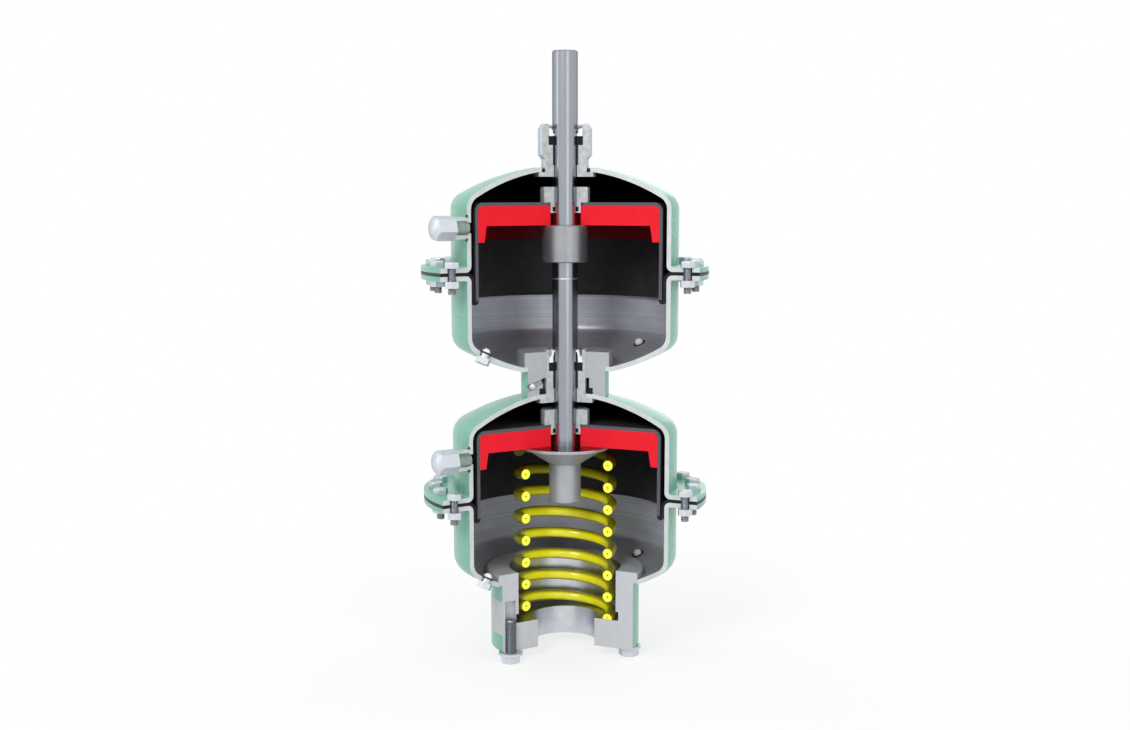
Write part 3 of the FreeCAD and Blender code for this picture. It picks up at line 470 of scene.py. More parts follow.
def vent_finish(name, centre_z):
    """Vent plug: a bright plated hexagon outside, and inside the bowl's crown its domed end of white acetal."""
    hues = bpy.context.scene.actuator_colours
    material, tree, shader, point = new_finish(name)
    away = add_node(tree, "ShaderNodeVectorMath", {0: point, 1: (0, 0, centre_z)}, operation="SUBTRACT")
    reach = add_node(tree, "ShaderNodeVectorMath", {0: away.outputs[0]}, operation="LENGTH").outputs["Value"]
    inside = add_node(tree, "ShaderNodeMath", {0: reach, 1: bpy.context.scene.actuator_sizes.crown_r + 1 * MM},
                      operation="LESS_THAN").outputs[0]
    plate = patchy(tree, hues.zinc, point, 5, 0.95, 1.03)
    layered(tree, shader, (plate, mottled(tree, point, 4, 0.26, 0.36), 0.55),
            (inside, patchy(tree, hues.acetal, point, 3, 0.96, 1.0), 0.3, 0.0))
    mirroring(shader, 0.4, 0.4)
    return material


def welded_finish(name, cut_hue, cut_patch):
    """Steel welded to the casing and enamelled with it: lumpy under the enamel, and bare on the cut, which is bright
    in the boss and dark in the weld's root as painted shade of the corner between boss and wall, in patches of this
    size in millimetres."""
    hues = bpy.context.scene.actuator_colours
    material, tree, shader, point = new_finish(name)
    enamel = patchy(tree, hues.mint, point, 6, 0.88, 1.02)
    cut = (on_cut_face(tree, point), patchy(tree, cut_hue, point, cut_patch, 0.8, 1.0), 0.5, 0.25)
    layered(tree, shader, (enamel, mottled(tree, point, 3, 0.26, 0.4), 0.0), cut)
    mirroring(shader, 0.25)
    raised(tree, shader, mottled(tree, point, 1.2, 0, 1, 1.0), 0.03)
    return material


def rod_finish():
    """Chromed and centreless-ground bar: a mirror with a very fine lay round the axis, and a dull ring where the two
    rods meet and their edges are broken, painted bright as a highlight of those edges."""
    hues = bpy.context.scene.actuator_colours
    material, tree, shader, point = new_finish("ground_chromed_bar")
    height = radius_and_height(tree, point)[1]
    joint = add_node(tree, "ShaderNodeMath", {0: height, 1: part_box("lower_rod")[1].z, 2: ROD_JOINT},
                     operation="COMPARE").outputs[0]
    steel = patchy(tree, hues.rod_steel, point, 30, 0.97, 1.03)
    # Painted highlight: the ring where the rods meet is bright
    layered(tree, shader, (steel, mottled(tree, point, 3, 0.2, 0.26), 1.0), (joint, JOINT_HIGHLIGHT, 0.36, 1.0))
    mirroring(shader, 0.5, 0.35)
    raised(tree, shader, lathe_marks(tree, point, 0.35), 0.002)
    return material


def enamel_finish():
    """Satin red enamel on a turned plate: even and full on the cut, which is enamelled too; elsewhere it is painted
    lighter near the middle and darker out to the skirt, as light and shade."""
    hues = bpy.context.scene.actuator_colours
    material, tree, shader, point = new_finish("satin_red_enamel")
    radius = radius_and_height(tree, point)[0]
    # Painted light and shade: the red is lighter near the middle and darker out to the skirt
    thin = add_node(tree, "ShaderNodeMapRange", {0: radius, 1: RED_SHADE_RADII[0], 2: RED_SHADE_RADII[1], 3: 1.25, 4: 0.16},
                    interpolation_type="SMOOTHSTEP").outputs[0]
    shade = add_node(tree, "ShaderNodeMix", {0: on_cut_face(tree, point), 2: thin,
                                             3: mottled(tree, point, 18, 0.95, 1.04)}).outputs[0]
    skin = tinted(tree, hues.red, shade)
    layered(tree, shader, (skin, mottled(tree, point, 5, 0.4, 0.52), 0.0))
    mirroring(shader, 0.15)
    raised(tree, shader, mottled(tree, point, 1.4, 0, 1, 1.0), 0.02, edge=0.6)
    return material


def rubber_finish(name, cut_hue):
    """Moulded nitrile rubber: a dull black skin with a fine pebble, matt where it is cut, and grey there where the
    cord inside shows."""
    hues = bpy.context.scene.actuator_colours
    material, tree, shader, point = new_finish(name)
    skin = patchy(tree, hues.rubber, point, 14, 0.8, 1.2)
    cut = (on_cut_face(tree, point), patchy(tree, cut_hue, point, 1.2, 0.8, 1.2), 0.75, 0.0)
    layered(tree, shader, (skin, mottled(tree, point, 3, 0.4, 0.55), 0.0), cut)
    mirroring(shader, 0.25)
    raised(tree, shader, mottled(tree, point, 0.8, 0, 1, 1.0), 0.03)
    return material


def moulded_finish(name, hue, rough):
    """Turned engineering plastic: even colour, waxy, with faint rings round the axis."""
    material, tree, shader, point = new_finish(name)
    skin = patchy(tree, hue, point, 5, 0.95, 1.03)
    layered(tree, shader, (skin, mottled(tree, point, 2, rough - 0.06, rough + 0.06), 0.0))
    mirroring(shader, 0.3)
    raised(tree, shader, lathe_marks(tree, point, 0.5), 0.012)
    return material


def powder_finish():
    """Gloss yellow powder coat on spring wire: thick and round-shouldered, with a coarse orange peel. Painted shade
    darkens it above and below, on the coil's outside away from the axis, and most under the seat."""
    hues = bpy.context.scene.actuator_colours
    sizes = bpy.context.scene.actuator_sizes
    material, tree, shader, point = new_finish("gloss_yellow_powder_coat")
    radius, height = radius_and_height(tree, point)
    normal = add_node(tree, "ShaderNodeNewGeometry").outputs["Normal"]
    level = add_node(tree, "ShaderNodeSeparateXYZ", {0: normal}).outputs["Z"]
    steep = add_node(tree, "ShaderNodeMath", {0: level}, operation="ABSOLUTE").outputs[0]
    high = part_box("return_spring")[1].z
    # Painted shade: darker where the wire faces up or down, on the coil's outside and under the seat
    painted_shades = [add_node(tree, "ShaderNodeMapRange", {0: value, 1: start, 2: end, 3: 1.0, 4: least},
                        interpolation_type="SMOOTHSTEP").outputs[0]
               for value, start, end, least in (
                   (steep, 0.4, 1.0, 0.3),
                   (radius, sizes.spring_r, sizes.spring_r + 0.8 * sizes.wire_r, 0.35),
                   (height, high - SEAT_SHADE_FROM, high - SEAT_SHADE_TO, 0.22))]
    skin = patchy(tree, hues.yellow, point, 16, 0.95, 1.04)
    for painted_shade in painted_shades:
        skin = tinted(tree, skin, painted_shade)
    layered(tree, shader, (skin, mottled(tree, point, 6, 0.2, 0.28), 0.0))
    mirroring(shader, 0.5)
    shader.inputs["Coat Weight"].default_value = 0.4
    shader.inputs["Coat Roughness"].default_value = 0.12
    raised(tree, shader, mottled(tree, point, 3.5, 0, 1, 1.0), 0.03)
    return material


def end_finish(name, shade, rough):
    """Paint on the flat ends of the coils, fresh on the cut and darkened by the shade, which at its low level is
    painted shade.
    """
    hues = bpy.context.scene.actuator_colours
    material, tree, shader, point = new_finish(name)
    skin = patchy(tree, hues.yellow_cut, point, 4, 0.97 * shade, 1.03 * shade)
    layered(tree, shader, (skin, rough, 0.0))
    mirroring(shader, 0.2)
    return material


def shared_finish(name):
    """A finish that several groups of pieces wear, made on its first use."""
    hues = bpy.context.scene.actuator_colours
    make, *arguments = {ZINC: (zinc_finish,), RUBBER: (rubber_finish, hues.rubber_cut),
                        ACETAL: (moulded_finish, hues.acetal, 0.42)}[name]
    return bpy.data.materials.get(name) or make(name, *arguments)


def dress(material, *nodes):
    """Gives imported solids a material, in the slot that they come with."""
    for node in nodes:
        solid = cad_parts[node]
        if not solid.material_slots:
            solid.data.materials.append(material)
        solid.material_slots[0].material = material


def grid_faces(rows, columns, ring=False):
    """Quads between neighbouring rows and columns of a grid; a ring also joins its last column to its first."""
    row, a = np.meshgrid(np.arange(rows - 1), np.arange(columns if ring else columns - 1), indexing="ij")
    here, above, b = row * columns, (row + 1) * columns, (a + 1) % columns
    return np.stack([here + a, above + a, above + b, here + b], -1).reshape(-1, 4)


def tube_faces(rows, columns):
    """Faces of a tube of points: quads between its rows, and one face over each end."""
    count = rows * columns
    return [*grid_faces(rows, columns, ring=True).tolist(), list(range(columns))[::-1],
            list(range(count - columns, count))]


def about_axis(r, angle, z):
    """Points (r cos a, r sin a, z), with the three arrays spread over each other."""
    r, angle, z = np.broadcast_arrays(r, angle, z)
    return np.stack([r * np.cos(angle), r * np.sin(angle), z], -1)


def placed(name, data):
    """An object of this name and data, linked into the scene."""
    thing = bpy.data.objects.new(name, data)
    bpy.context.scene.collection.objects.link(thing)
    return thing


def new_piece(name, points, faces, material, slot, sharp=35, others=(), wears=None):
    """A mesh piece from an array of points and lists of faces, its faces turned outwards and its edges sharper
    than an angle in degrees kept crisp. Each face's number in wears picks its material: 0 the first, 1 and up the
    others."""
    mesh = bpy.data.meshes.new(name)
    mesh.from_pydata(np.asarray(points, float).reshape(-1, 3).tolist(), [], faces)
    shell = bmesh.new()
    shell.from_mesh(mesh)
    bmesh.ops.remove_doubles(shell, verts=shell.verts, dist=1e-4 * MM)
    bmesh.ops.recalc_face_normals(shell, faces=shell.faces)
    shell.to_mesh(mesh)
    shell.free()
    mesh.shade_smooth()
    mesh.set_sharp_from_angle(angle=math.radians(sharp))
    for worn in (material, *others):
        mesh.materials.append(worn)
    if wears is not None:
        mesh.polygons.foreach_set("material_index", np.asarray(wears, int))
    piece = placed(name, mesh)
    return piece


def arc_of(r, z, radius, start, end, count=10):
    """Points (r, z) of an arc about (r, z): its angle runs evenly from start to end, 0 pointing off the axis."""
    turn = np.radians(np.linspace(start, end, count))
    return np.stack([r + radius * np.cos(turn), z + radius * np.sin(turn)], -1)


def swept_section(profile):
    """A closed profile (r, z) turned about the axis through the part that the cut leaves: each point becomes
    (r cos a, r sin a, z) for angles a from the right face to the left face, and the profile closes both ends."""
    turn = np.linspace(RIGHT_FACE, LEFT_FACE, SWEEP_ROWS)[:, None]
    return about_axis(profile[:, 0], turn, profile[:, 1]), tube_faces(SWEEP_ROWS, len(profile))


def diaphragm_profiles(sizes, level, rise, drawn_up):
    """The height of the rolling diaphragm's fold's springing and its closed profiles (r, z) in three runs that meet
    there: the rim and outer limb on the casing, the half circle of the fold, and the inner limb up the plate's side
    and over its top. Each lies between a line on the metal and that line moved off it by the rubber."""
    rubber, wall, side = sizes.rubber, sizes.casing_r, sizes.plate_r
    fold_r, fold = (side + wall) / 2, (wall - side) / 2
    spring_z = level + drawn_up - sizes.fold_depth + fold
    rim, seat = level - rubber / 2, level + rise + sizes.plate_top
    bend_z, corner_z = rim - sizes.flange_bend, seat - sizes.plate_corner

    def upright(r, top):
        return np.stack([np.full(12, r), np.linspace(spring_z, top, 12)], -1)

    def on_casing(off):
        bend = arc_of(wall + sizes.flange_bend, bend_z, sizes.flange_bend + off, 180, 90)
        return np.concatenate([upright(wall - off, bend_z), bend[1:], [(sizes.flange_r, rim + off)]])

    def in_fold(off):
        return arc_of(fold_r, spring_z, fold - off, 180, 360, 17)

    def on_plate(off):
        corner = arc_of(side - sizes.plate_corner, corner_z, sizes.plate_corner + off, 0, 90)
        return np.concatenate([upright(side + off, corner_z), corner[1:], [(sizes.diaphragm_hole_r, seat + off)]])

    return spring_z, *(np.concatenate([line(0.0), line(rubber)[::-1]]) for line in (on_casing, in_fold, on_plate))


def share_the_stroke(piece, share):
    """Fixes a piece that stays (share 0) to the casing and one that moves with the stem (share 1) to the stem; for a
    share in between it only bakes the piece's transform."""
    if share in (0, 1):
        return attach(piece, ("casing", "stem")[int(share)])
    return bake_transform(piece)


def coil_surface(sizes, coil, sweep, low, high):
    """One coil of round wire from the right face on: for angles a along it and b round the wire, r = R + w cos b
    and z = foot + pitch (coil + a / 2 pi) + w sin b, held between the spring's ground ends. Rings of points set the
    rim and middle of each flat end apart. Gives points, faces and what each face wears: 0 the powder coat, 1 fresh
    paint, 2 darkened paint, painted shade on each end's rim ring and all of the last coil's far end, which also
    covers each end's small middle disc."""
    steps = int(math.degrees(sweep) / 2)
    turn = np.linspace(0, sweep, steps + 1)[:, None]
    wire = np.linspace(0, 2 * np.pi, WIRE_SIDES, endpoint=False)
    z = sizes.first_coil_z + sizes.coil_pitch * (coil + turn / (2 * np.pi)) + sizes.wire_r * np.sin(wire)
    r = sizes.spring_r + sizes.wire_r * np.cos(wire)
    points = about_axis(r, RIGHT_FACE + turn, np.clip(z, low, high)).reshape(-1, 3)
    faces = grid_faces(steps + 1, WIRE_SIDES, ring=True).tolist()
    wears = [0] * len(faces)
    following = np.roll(np.arange(WIRE_SIDES), -1)
    for foot in (0, steps * WIRE_SIDES):
        outer = np.arange(foot, foot + WIRE_SIDES)
        edge, middle = points[outer], points[outer].mean(axis=0)
        free = foot > 0 and coil == sizes.coil_count - 1
        for share, wear in zip(END_RINGS, (2, 2 if free else 1)):
            inner = len(points) + np.arange(WIRE_SIDES)
            points = np.concatenate([points, middle + share * (edge - middle)])
            faces += np.stack([outer, outer[following], inner[following], inner], -1).tolist()
            wears += [wear] * WIRE_SIDES
            outer = inner
        faces.append(outer.tolist())
        wears.append(2)
    return points, faces, wears


def thread_height(turns):
    """Height of a 60 degree thread's flank, 1 on the crest and 0 in the root, by the turn's fraction: a flat crest
    an eighth wide, a straight fall, a flat root a quarter wide and a straight rise."""
    return np.interp(turns % 1.0, [0, 0.0625, 0.375, 0.625, 0.9375, 1], [1, 1, 0, 0, 1, 1])


def bolt_surface(flats, head, radius, pitch, run, sides=24):
    """A hexagon bolt, head up, seat at nil: rows of points round the axis from the head's top to the tip. The
    head's radius is the hexagon's, flats / 2 over the cosine of the angle from the nearest flat, or the chamfer
    cone's where that is less; the shank's is the thread's crest less its depth by the turn's fraction, and its
    last turn tapers to the root."""
    turn = np.linspace(0, 2 * np.pi, sides, endpoint=False)
    hexagon = flats / 2 / np.cos((turn % (np.pi / 3)) - np.pi / 6)
    drops = flats * np.array(CHAMFER_DROPS)
    cone = CHAMFER_TOP * flats + drops[:, None] / math.tan(CHAMFER_SLOPE)
    depth = THREAD_DEPTH * pitch
    down = np.linspace(0, run, round(run / pitch * THREAD_ROWS) + 1)[1:, None]
    thread = radius - depth * (1 - thread_height(down / pitch - turn / (2 * np.pi)))
    tip = radius - depth * np.clip((down - (run - pitch)) / pitch, 0, 1)
    r = np.concatenate([np.minimum(hexagon, cone), [hexagon, 0.985 * hexagon, np.full(sides, radius)],
                        np.minimum(thread, tip)])
    z = np.concatenate([head - drops, [0.05 * head, 0.0, 0.0], -down[:, 0]])[:, None]
    return about_axis(r, turn, z).reshape(-1, 3), tube_faces(len(z), sides)


def set_round(points, faces, radius, height, angles, upside_down=False):
    """Copies of one shape set on a circle about the axis: each is moved out by the radius, up by the height and
    turned by its angle; upside down it is first turned over about its own level axis."""
    if upside_down:
        points = points * (1, -1, -1)
    x, y, z = points[:, 0] + radius, points[:, 1], points[:, 2] + height
    turn = np.asarray(angles)[:, None]
    copies = np.stack([x * np.cos(turn) - y * np.sin(turn), x * np.sin(turn) + y * np.cos(turn),
                       np.broadcast_to(z, (len(angles), len(z)))], -1)
    return copies, [[k + n * len(points) for k in face] for n in range(len(angles)) for face in faces]


def screws(name, shape, head_and_thread, radius, height, angles, upside_down=False):
    """A ring of screws of one shape in two materials: a face below the seat is thread."""
    points, faces = shape
    threaded = np.tile([points[face[0], 2] < -0.1 * MM for face in faces], len(angles))
    return new_piece(name, *set_round(points, faces, radius, height, angles, upside_down), head_and_thread[0],
                     "zinc", others=head_and_thread[1:], wears=threaded)


def bead_round_port(sizes, level):
    """Weld bead where a boss meets the casing's wall: round the port's axis the bead's centre lies on the wall,
    at depth sqrt(R * R - sideways * sideways), and its round section swells and shrinks with the ripples."""
    rows, columns = 64, 12
    wall = sizes.casing_r + sizes.sheet
    angle = np.linspace(-np.pi / 2, np.pi / 2, rows)[:, None]
    round_it = np.linspace(0, 2 * np.pi, columns, endpoint=False)
    section = BEAD_R + BEAD_RIPPLE * np.cos(angle * BEAD_RIPPLES)
    ring = sizes.port_boss_r + 0.5 * MM + section * np.cos(round_it)
    across, up = ring * np.cos(angle), ring * np.sin(angle)
    out = np.sqrt(wall ** 2 - across ** 2) + section * np.sin(round_it)
    cos, sin = math.cos(LEFT_FACE), math.sin(LEFT_FACE)
    points = np.stack([out * cos + across * sin, out * sin - across * cos, level + sizes.port_height + up], -1)
    return points, tube_faces(rows, columns)


def grommet_profile(sizes):
    """Closed profile (r, h) of the rubber grommet round a vent plug's domed end: a flat foot and a half round."""
    inner, outer = sizes.vent_body_r + GROMMET_FIT, sizes.vent_body_r + GROMMET_WIDTH
    bulge = arc_of((inner + outer) / 2, 0.0, (outer - inner) / 2, 180, 0, 9)
    return np.concatenate([[(outer, -GROMMET_DEPTH), (inner, -GROMMET_DEPTH)], bulge])


def turned_on_vents(sizes, level, profile, closed):
    """A profile (r, h), closed or from axis to axis, turned about the axis of each of a bowl's two vent plugs. That
    axis passes through the crown's centre, and h runs along it from the bowl's inside towards the centre."""
    sides, count = 40, len(profile)
    turn = np.linspace(0, 2 * np.pi, sides, endpoint=False)[:, None]
    slope = math.asin(sizes.vent_r / sizes.crown_r)
    foot = level + sizes.crown_centre - sizes.crown_r * math.cos(slope)
    x, y, h = (part[..., None] for part in np.moveaxis(about_axis(profile[:, 0], turn, profile[:, 1]), -1, 0))
    points, faces = [], []
    for angle in (LEFT_FACE, LEFT_FACE - math.pi):
        outward = np.array([math.cos(angle), math.sin(angle), 0.0])
        along = np.array([-math.sin(angle), math.cos(angle), 0.0])
        inward = (0, 0, math.cos(slope)) - math.sin(slope) * outward
        quads = grid_faces(sides + 1, count, ring=closed) % (sides * count)
        faces += (quads + len(points) * sides * count).tolist()
        points.append(sizes.vent_r * outward + (0, 0, foot) + x * along + y * np.cross(inward, along) + h * inward)
    return np.array(points), faces


class ACTUATOR_OT_casings(bpy.types.Operator):
    """Finish the pressed covers and bowls, and weld the air ports' bosses on"""
    bl_idname = "actuator.casings"
    bl_label = "Casings"

    def execute(self, context):
        sizes, hues = context.scene.actuator_sizes, context.scene.actuator_colours
        boss = welded_finish("enamelled_boss", hues.cut_steel, 8)
        # The bead's dark cut is painted shade of the corner where the boss meets the wall
        weld = welded_finish("enamelled_weld_bead", hues.scale, 1)
        for side in SIDES:
            level = parting(side)
            cover = casing_finish(f"{side}_cover_enamel_and_shaded_black", level, level - sizes.crown_centre, True)
            bowl = casing_finish(f"{side}_bowl_enamel_and_bare_steel", level, level + sizes.crown_centre, False)
            dress(cover, f"{side}_cover")
            dress(bowl, f"{side}_bowl")
            dress(boss, f"{side}_port_boss")
            bead = new_piece(f"{side}_port_weld", *bead_round_port(sizes, level), weld, "casing_paint")
            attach(bead, "casing")
        return {"FINISHED"}


class ACTUATOR_OT_turned_parts(bpy.types.Operator):
    """Finish the hub, spring housing, collar, spring seat and rods"""
    bl_idname = "actuator.turned_parts"
    bl_label = "Turned parts and rods"

    def execute(self, context):
        # Painted light and shade: each part's shade darkens the hub, seat and collar and lightens the housing
        dress(turned_finish("turned_hub_enamelled_outside", shade=0.9, paint=HUB_PAINT), "centre_hub")
        dress(turned_finish("turned_housing_enamelled_outside", shade=1.12, metal=0.3, paint=HOUSING_PAINT,
                            bare_patch=HOUSING_BARE_PATCH, honed_within=HOUSING_BORE), "spring_housing")
        dress(turned_finish("turned_collar", shade=0.75, metal=0.85), "rod_collar")
        dress(turned_finish("turned_spring_seat", shade=0.9, polished_above=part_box("spring_seat")[1].z - 0.3 * MM),
              "spring_seat")
        dress(rod_finish(), "upper_rod", "lower_rod")
        return {"FINISHED"}


class ACTUATOR_OT_plates(bpy.types.Operator):
    """Finish the diaphragm plates and their nuts"""
    bl_idname = "actuator.plates"
    bl_label = "Plates and nuts"

    def execute(self, context):
        dress(enamel_finish(), "upper_plate", "lower_plate")
        dress(shared_finish(ZINC), "upper_plate_nut", "lower_plate_nut")
        return {"FINISHED"}


class ACTUATOR_OT_glands(bpy.types.Operator):
    """Finish the glands with their bushes, seals, wipers and rings"""
    bl_idname = "actuator.glands"
    bl_label = "Glands and seals"

    def execute(self, context):
        dress(shared_finish(ZINC), "top_gland", "hub_gland", "hub_vent_ball")
        dress(shared_finish(RUBBER), "top_gland_o_ring", "top_rod_seal", "hub_rod_seal", "hub_o_ring",
              "upper_nut_o_ring", "lower_nut_o_ring")
        dress(moulded_finish("filled_nylon", context.scene.actuator_colours.nylon, 0.5), "top_guide_bush",
              "hub_guide_bush")
        dress(shared_finish(ACETAL), "top_wiper", "hub_wiper")
        return {"FINISHED"}


class ACTUATOR_OT_diaphragms(bpy.types.Operator):
    """Make the rolling diaphragms, each in three runs: outer limb, fold and inner limb"""
    bl_idname = "actuator.diaphragms"
    bl_label = "Rolling diaphragms"

    def execute(self, context):
        sizes = context.scene.actuator_sizes
        rubber = shared_finish(RUBBER)
        corded = rubber_finish("nitrile_rubber_on_grey_cord", context.scene.actuator_colours.cord_cut)
        runs = (("outer_limb", rubber), ("fold", rubber), ("inner_limb", corded))
        for side in SIDES:
            level = parting(side)
            rise, shorter = (sizes.lower_plate_rise, sizes.lower_fold_rise) if side == "lower" else (0.0, 0.0)
            spring_z, *profiles = diaphragm_profiles(sizes, level, rise, rise / 2 + shorter)
            outer, fold, inner = (
                new_piece(f"{side}_diaphragm_{run}", *swept_section(profile), skin, "black_rubber", sharp=40)
                for (run, skin), profile in zip(runs, profiles))
            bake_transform(outer)
            share_the_stroke(fold, 0.5)
            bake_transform(inner)
            for piece in (outer, fold, inner):
                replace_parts(piece, f"{side}_diaphragm")
        return {"FINISHED"}


class ACTUATOR_OT_spring(bpy.types.Operator):
    """Wind the coils of the return spring; the first is fixed to the casing and the last to the stem"""
    bl_idname = "actuator.spring"
    bl_label = "Return spring"

    def execute(self, context):
        sizes = context.scene.actuator_sizes
        low, high = (corner.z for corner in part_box("return_spring"))
        coat = powder_finish()
        # The second end paint is painted shade: the rim ring round each cut end and all of the last coil's far end
        ends = end_finish("cut_coil_end", 1.0, 0.4), end_finish("shaded_coil_end", 0.1, 0.6)
        for coil in range(sizes.coil_count):
            sweep = sizes.last_coil_sweep if coil == sizes.coil_count - 1 else LEFT_FACE - RIGHT_FACE
            points, faces, wears = coil_surface(sizes, coil, sweep, low, high)
            piece = new_piece(f"spring_coil_{coil + 1}", points, faces, coat, "spring_yellow", sharp=50,
                              others=ends, wears=wears)
            share_the_stroke(piece, coil / (sizes.coil_count - 1))
            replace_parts(piece, "return_spring")
        return {"FINISHED"}


class ACTUATOR_OT_fasteners(bpy.types.Operator):
    """Cut the flange bolts and mounting bolts with their threads, and finish nuts, washers, plugs and fittings"""
    bl_idname = "actuator.fasteners"
    bl_label = "Fasteners and fittings"

    def execute(self, context):
        sizes, hues = context.scene.actuator_sizes, context.scene.actuator_colours
        zinc, rubber, acetal = (shared_finish(name) for name in (ZINC, RUBBER, ACETAL))
        plated = thread_finish("plated_rolled_thread", hues.plated_thread)
        oiled = thread_finish("oiled_rolled_thread", hues.thread_steel)
        dark = thread_finish("phosphated_steel", hues.phosphate)
        angles = RIGHT_FACE + BOLT_STEP * np.arange(BOLTS_LEFT)
        shape = bolt_surface(*FLANGE_SCREW, sizes.bolt_length)
        grommet, ball = grommet_profile(sizes), arc_of(0.0, BALL_RISE, sizes.vent_body_r, -90, 90, 19)
        for side in SIDES:
            level = parting(side)
            bolts = screws(f"{side}_flange_screws", shape, (zinc, plated), sizes.bolt_circle_r,
                           level + sizes.rubber / 2 + sizes.sheet, angles)
            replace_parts(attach(bolts, "casing"), f"{side}_flange_bolts")
            dress(zinc, f"{side}_flange_nuts", f"{side}_port_cap")
            dress(dark, f"{side}_port_nipple")
            dress(vent_finish(f"{side}_vent_zinc_and_acetal", level + sizes.crown_centre), f"{side}_vent_plugs")
            grommets = new_piece(f"{side}_vent_grommets", *turned_on_vents(sizes, level, grommet, True), rubber,
                                 "black_rubber")
            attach(grommets, "casing")
            balls = new_piece(f"{side}_vent_balls", *turned_on_vents(sizes, level, ball, False), acetal,
                              "wiper_plastic")
            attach(balls, "casing")
        bolts = screws("mounting_screws", bolt_surface(*MOUNTING_SCREW, sizes.mount_bolt_length, sides=36),
                       (zinc, oiled), sizes.mount_circle_r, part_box("mounting_washers")[0].z, [LEFT_FACE, 0.0],
                       upside_down=True)
        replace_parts(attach(bolts, "casing"), "mounting_bolts")
        dress(zinc, "mounting_washers")
        return {"FINISHED"}


def aimed_at(thing, place, target):
    """Puts a lamp or camera at a place, looking at a target with its top up."""
    thing.location = place
    thing.rotation_euler = (Vector(target) - Vector(place)).to_track_quat("-Z", "Y").to_euler()


def softbox(name, azimuth, distance, height, width, tall, level, mirrored=False):
    """An area lamp that lights a white card facing it to this level, at an angle in degrees from the camera's side
    round to its right. Polished metal shows it only where it is mirrored."""
    lamp = bpy.data.lights.new(name, "AREA")
    lamp.shape = "RECTANGLE"
    lamp.size, lamp.size_y = width, tall
    lamp.energy = level * math.pi ** 2 * (distance ** 2 + (height - LAMP_TARGET[2]) ** 2)
    holder = placed(name, lamp)
    turn = CAMERA_AZIMUTH + math.radians(azimuth)
    aimed_at(holder, (distance * math.sin(turn), -distance * math.cos(turn), height), LAMP_TARGET)
    holder.visible_glossy = mirrored


def seen_directly(tree):
    """1 for rays from the camera, off polished metal or through glass, which see the background itself."""
    path = add_node(tree, "ShaderNodeLightPath")
    first = add_node(tree, "ShaderNodeMath", {0: path.outputs["Is Camera Ray"], 1: path.outputs["Is Glossy Ray"]},
                     operation="MAXIMUM")
    return add_node(tree, "ShaderNodeMath", {0: first.outputs[0], 1: path.outputs["Is Transmission Ray"]},
                    operation="MAXIMUM").outputs[0]


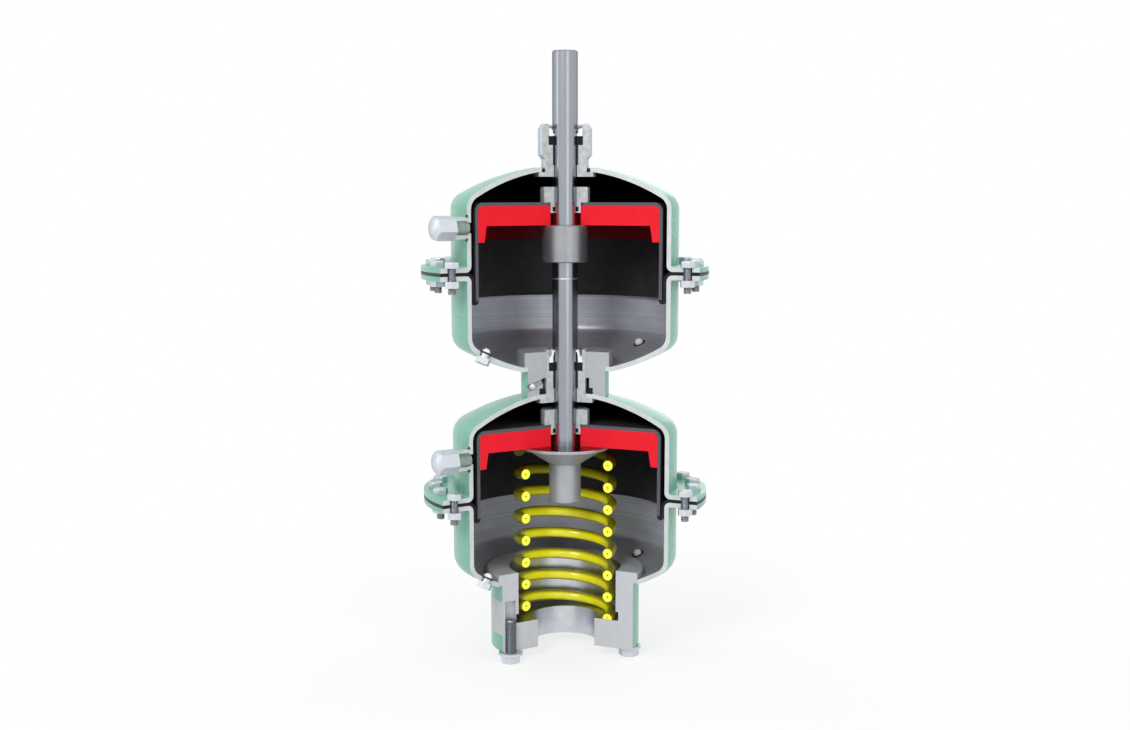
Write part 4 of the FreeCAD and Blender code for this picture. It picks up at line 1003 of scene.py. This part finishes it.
class ACTUATOR_OT_stage(bpy.types.Operator):
    """Set up the white studio: surround, floor, softboxes and the photograph's camera"""
    bl_idname = "actuator.stage"
    bl_label = "Studio"

    def execute(self, context):
        studio = context.scene.actuator_studio
        world = bpy.data.worlds.new("white_studio")
        world.use_nodes = True
        tree = world.node_tree
        tree.nodes.clear()
        level = add_node(tree, "ShaderNodeMix", {0: seen_directly(tree), 2: studio.world_level, 3: 1.0})
        surround = add_node(tree, "ShaderNodeBackground", {"Color": (1, 1, 1, 1), "Strength": level.outputs[0]})
        add_node(tree, "ShaderNodeOutputWorld", {"Surface": surround.outputs[0]})
        context.scene.world = world

        material, tree, shader, point = new_finish("pale_studio_floor")
        near, far, least, most = FLOOR_GLOW
        glow = add_node(tree, "ShaderNodeMapRange", {0: radius_and_height(tree, point)[0], 1: near, 2: far,
                                                     3: least, 4: most}, interpolation_type="SMOOTHSTEP")
        shown = add_node(tree, "ShaderNodeMath", {0: seen_directly(tree), 1: glow.outputs[0]}, operation="MULTIPLY")
        shader.inputs["Roughness"].default_value = 0.7
        shader.inputs["Specular IOR Level"].default_value = 0.1
        tree.links.new(patchy(tree, studio.floor, point, 60, 0.99, 1.0), shader.inputs["Base Color"])
        white = add_node(tree, "ShaderNodeEmission", {"Color": (1, 1, 1, 1), "Strength": 1.0})
        both = add_node(tree, "ShaderNodeMixShader", {0: shown.outputs[0], 1: shader.outputs[0],
                                                      2: white.outputs[0]})
        output = next(node for node in tree.nodes if node.type == "OUTPUT_MATERIAL")
        tree.links.new(both.outputs[0], output.inputs["Surface"])
        mesh = bpy.data.meshes.new("studio_floor")
        corners = ((-1, -1), (1, -1), (1, 1), (-1, 1))
        mesh.from_pydata([(x * FLOOR_REACH, y * FLOOR_REACH, cad_box[0][2]) for x, y in corners], [], [(0, 1, 2, 3)])
        mesh.materials.append(material)
        floor = placed("studio_floor", mesh)

        softbox("key_softbox", -25, 2.2, 1.7, 0.9, 0.9, studio.key, mirrored=True)
        softbox("fill_softbox", 38, 2.2, 1.1, 1.6, 1.6, studio.fill)
        softbox("top_softbox", 0, 0.3, 2.4, 1.4, 1.4, studio.top)
        softbox("back_left_softbox", -130, 2.2, 1.6, 1.4, 1.4, studio.back)
        softbox("back_right_softbox", 130, 2.2, 1.6, 1.4, 1.4, studio.back)
        for name, azimuth in (("left_strip", -74), ("right_strip", 24), ("back_strip", 170)):
            softbox(name, azimuth, 2.2, 1.0, 0.8, 2.2, studio.strips, mirrored=True)

        lens = bpy.data.cameras.new("photograph_camera")
        lens.sensor_width, lens.lens = CAMERA_SENSOR, CAMERA_LENS
        lens.shift_y = CAMERA_SHIFT
        lens.clip_start = 0.05
        camera = placed("photograph_camera", lens)
        aimed_at(camera, CAMERA_PLACE, CAMERA_TARGET)
        context.scene.camera = camera
        context.scene.view_settings.view_transform = "Standard"
        return {"FINISHED"}


class ACTUATOR_PT_panel(bpy.types.Panel):
    """Lists the actuator's sizes, colours and steps"""
    bl_idname = "ACTUATOR_PT_panel"
    bl_label = "Diaphragm actuator"
    bl_space_type = "VIEW_3D"
    bl_region_type = "UI"
    bl_category = "Actuator"

    def draw(self, context):
        for step in OPERATORS:
            self.layout.operator(step.bl_idname)
        for name, group in GROUPS.items():
            box = self.layout.box()
            for key in group.__annotations__:
                box.prop(getattr(context.scene, name), key)


GROUPS = {"actuator_sizes": ActuatorSizes, "actuator_colours": ActuatorColours, "actuator_studio": ActuatorStudio}
OPERATORS = (ACTUATOR_OT_stage, ACTUATOR_OT_casings, ACTUATOR_OT_turned_parts, ACTUATOR_OT_plates,
             ACTUATOR_OT_glands, ACTUATOR_OT_diaphragms, ACTUATOR_OT_spring, ACTUATOR_OT_fasteners)


def register():
    for kind in (*GROUPS.values(), *OPERATORS, ACTUATOR_PT_panel):
        bpy.utils.register_class(kind)
    for name, group in GROUPS.items():
        setattr(bpy.types.Scene, name, PointerProperty(type=group))


def unregister():
    for name in GROUPS:
        delattr(bpy.types.Scene, name)
    for kind in reversed((*GROUPS.values(), *OPERATORS, ACTUATOR_PT_panel)):
        bpy.utils.unregister_class(kind)


def main():
    register()
    bpy.ops.actuator.stage()
    bpy.ops.actuator.casings()
    bpy.ops.actuator.turned_parts()
    bpy.ops.actuator.plates()
    bpy.ops.actuator.glands()
    bpy.ops.actuator.diaphragms()
    bpy.ops.actuator.spring()
    bpy.ops.actuator.fasteners()


if __name__ == "__main__":
    main()
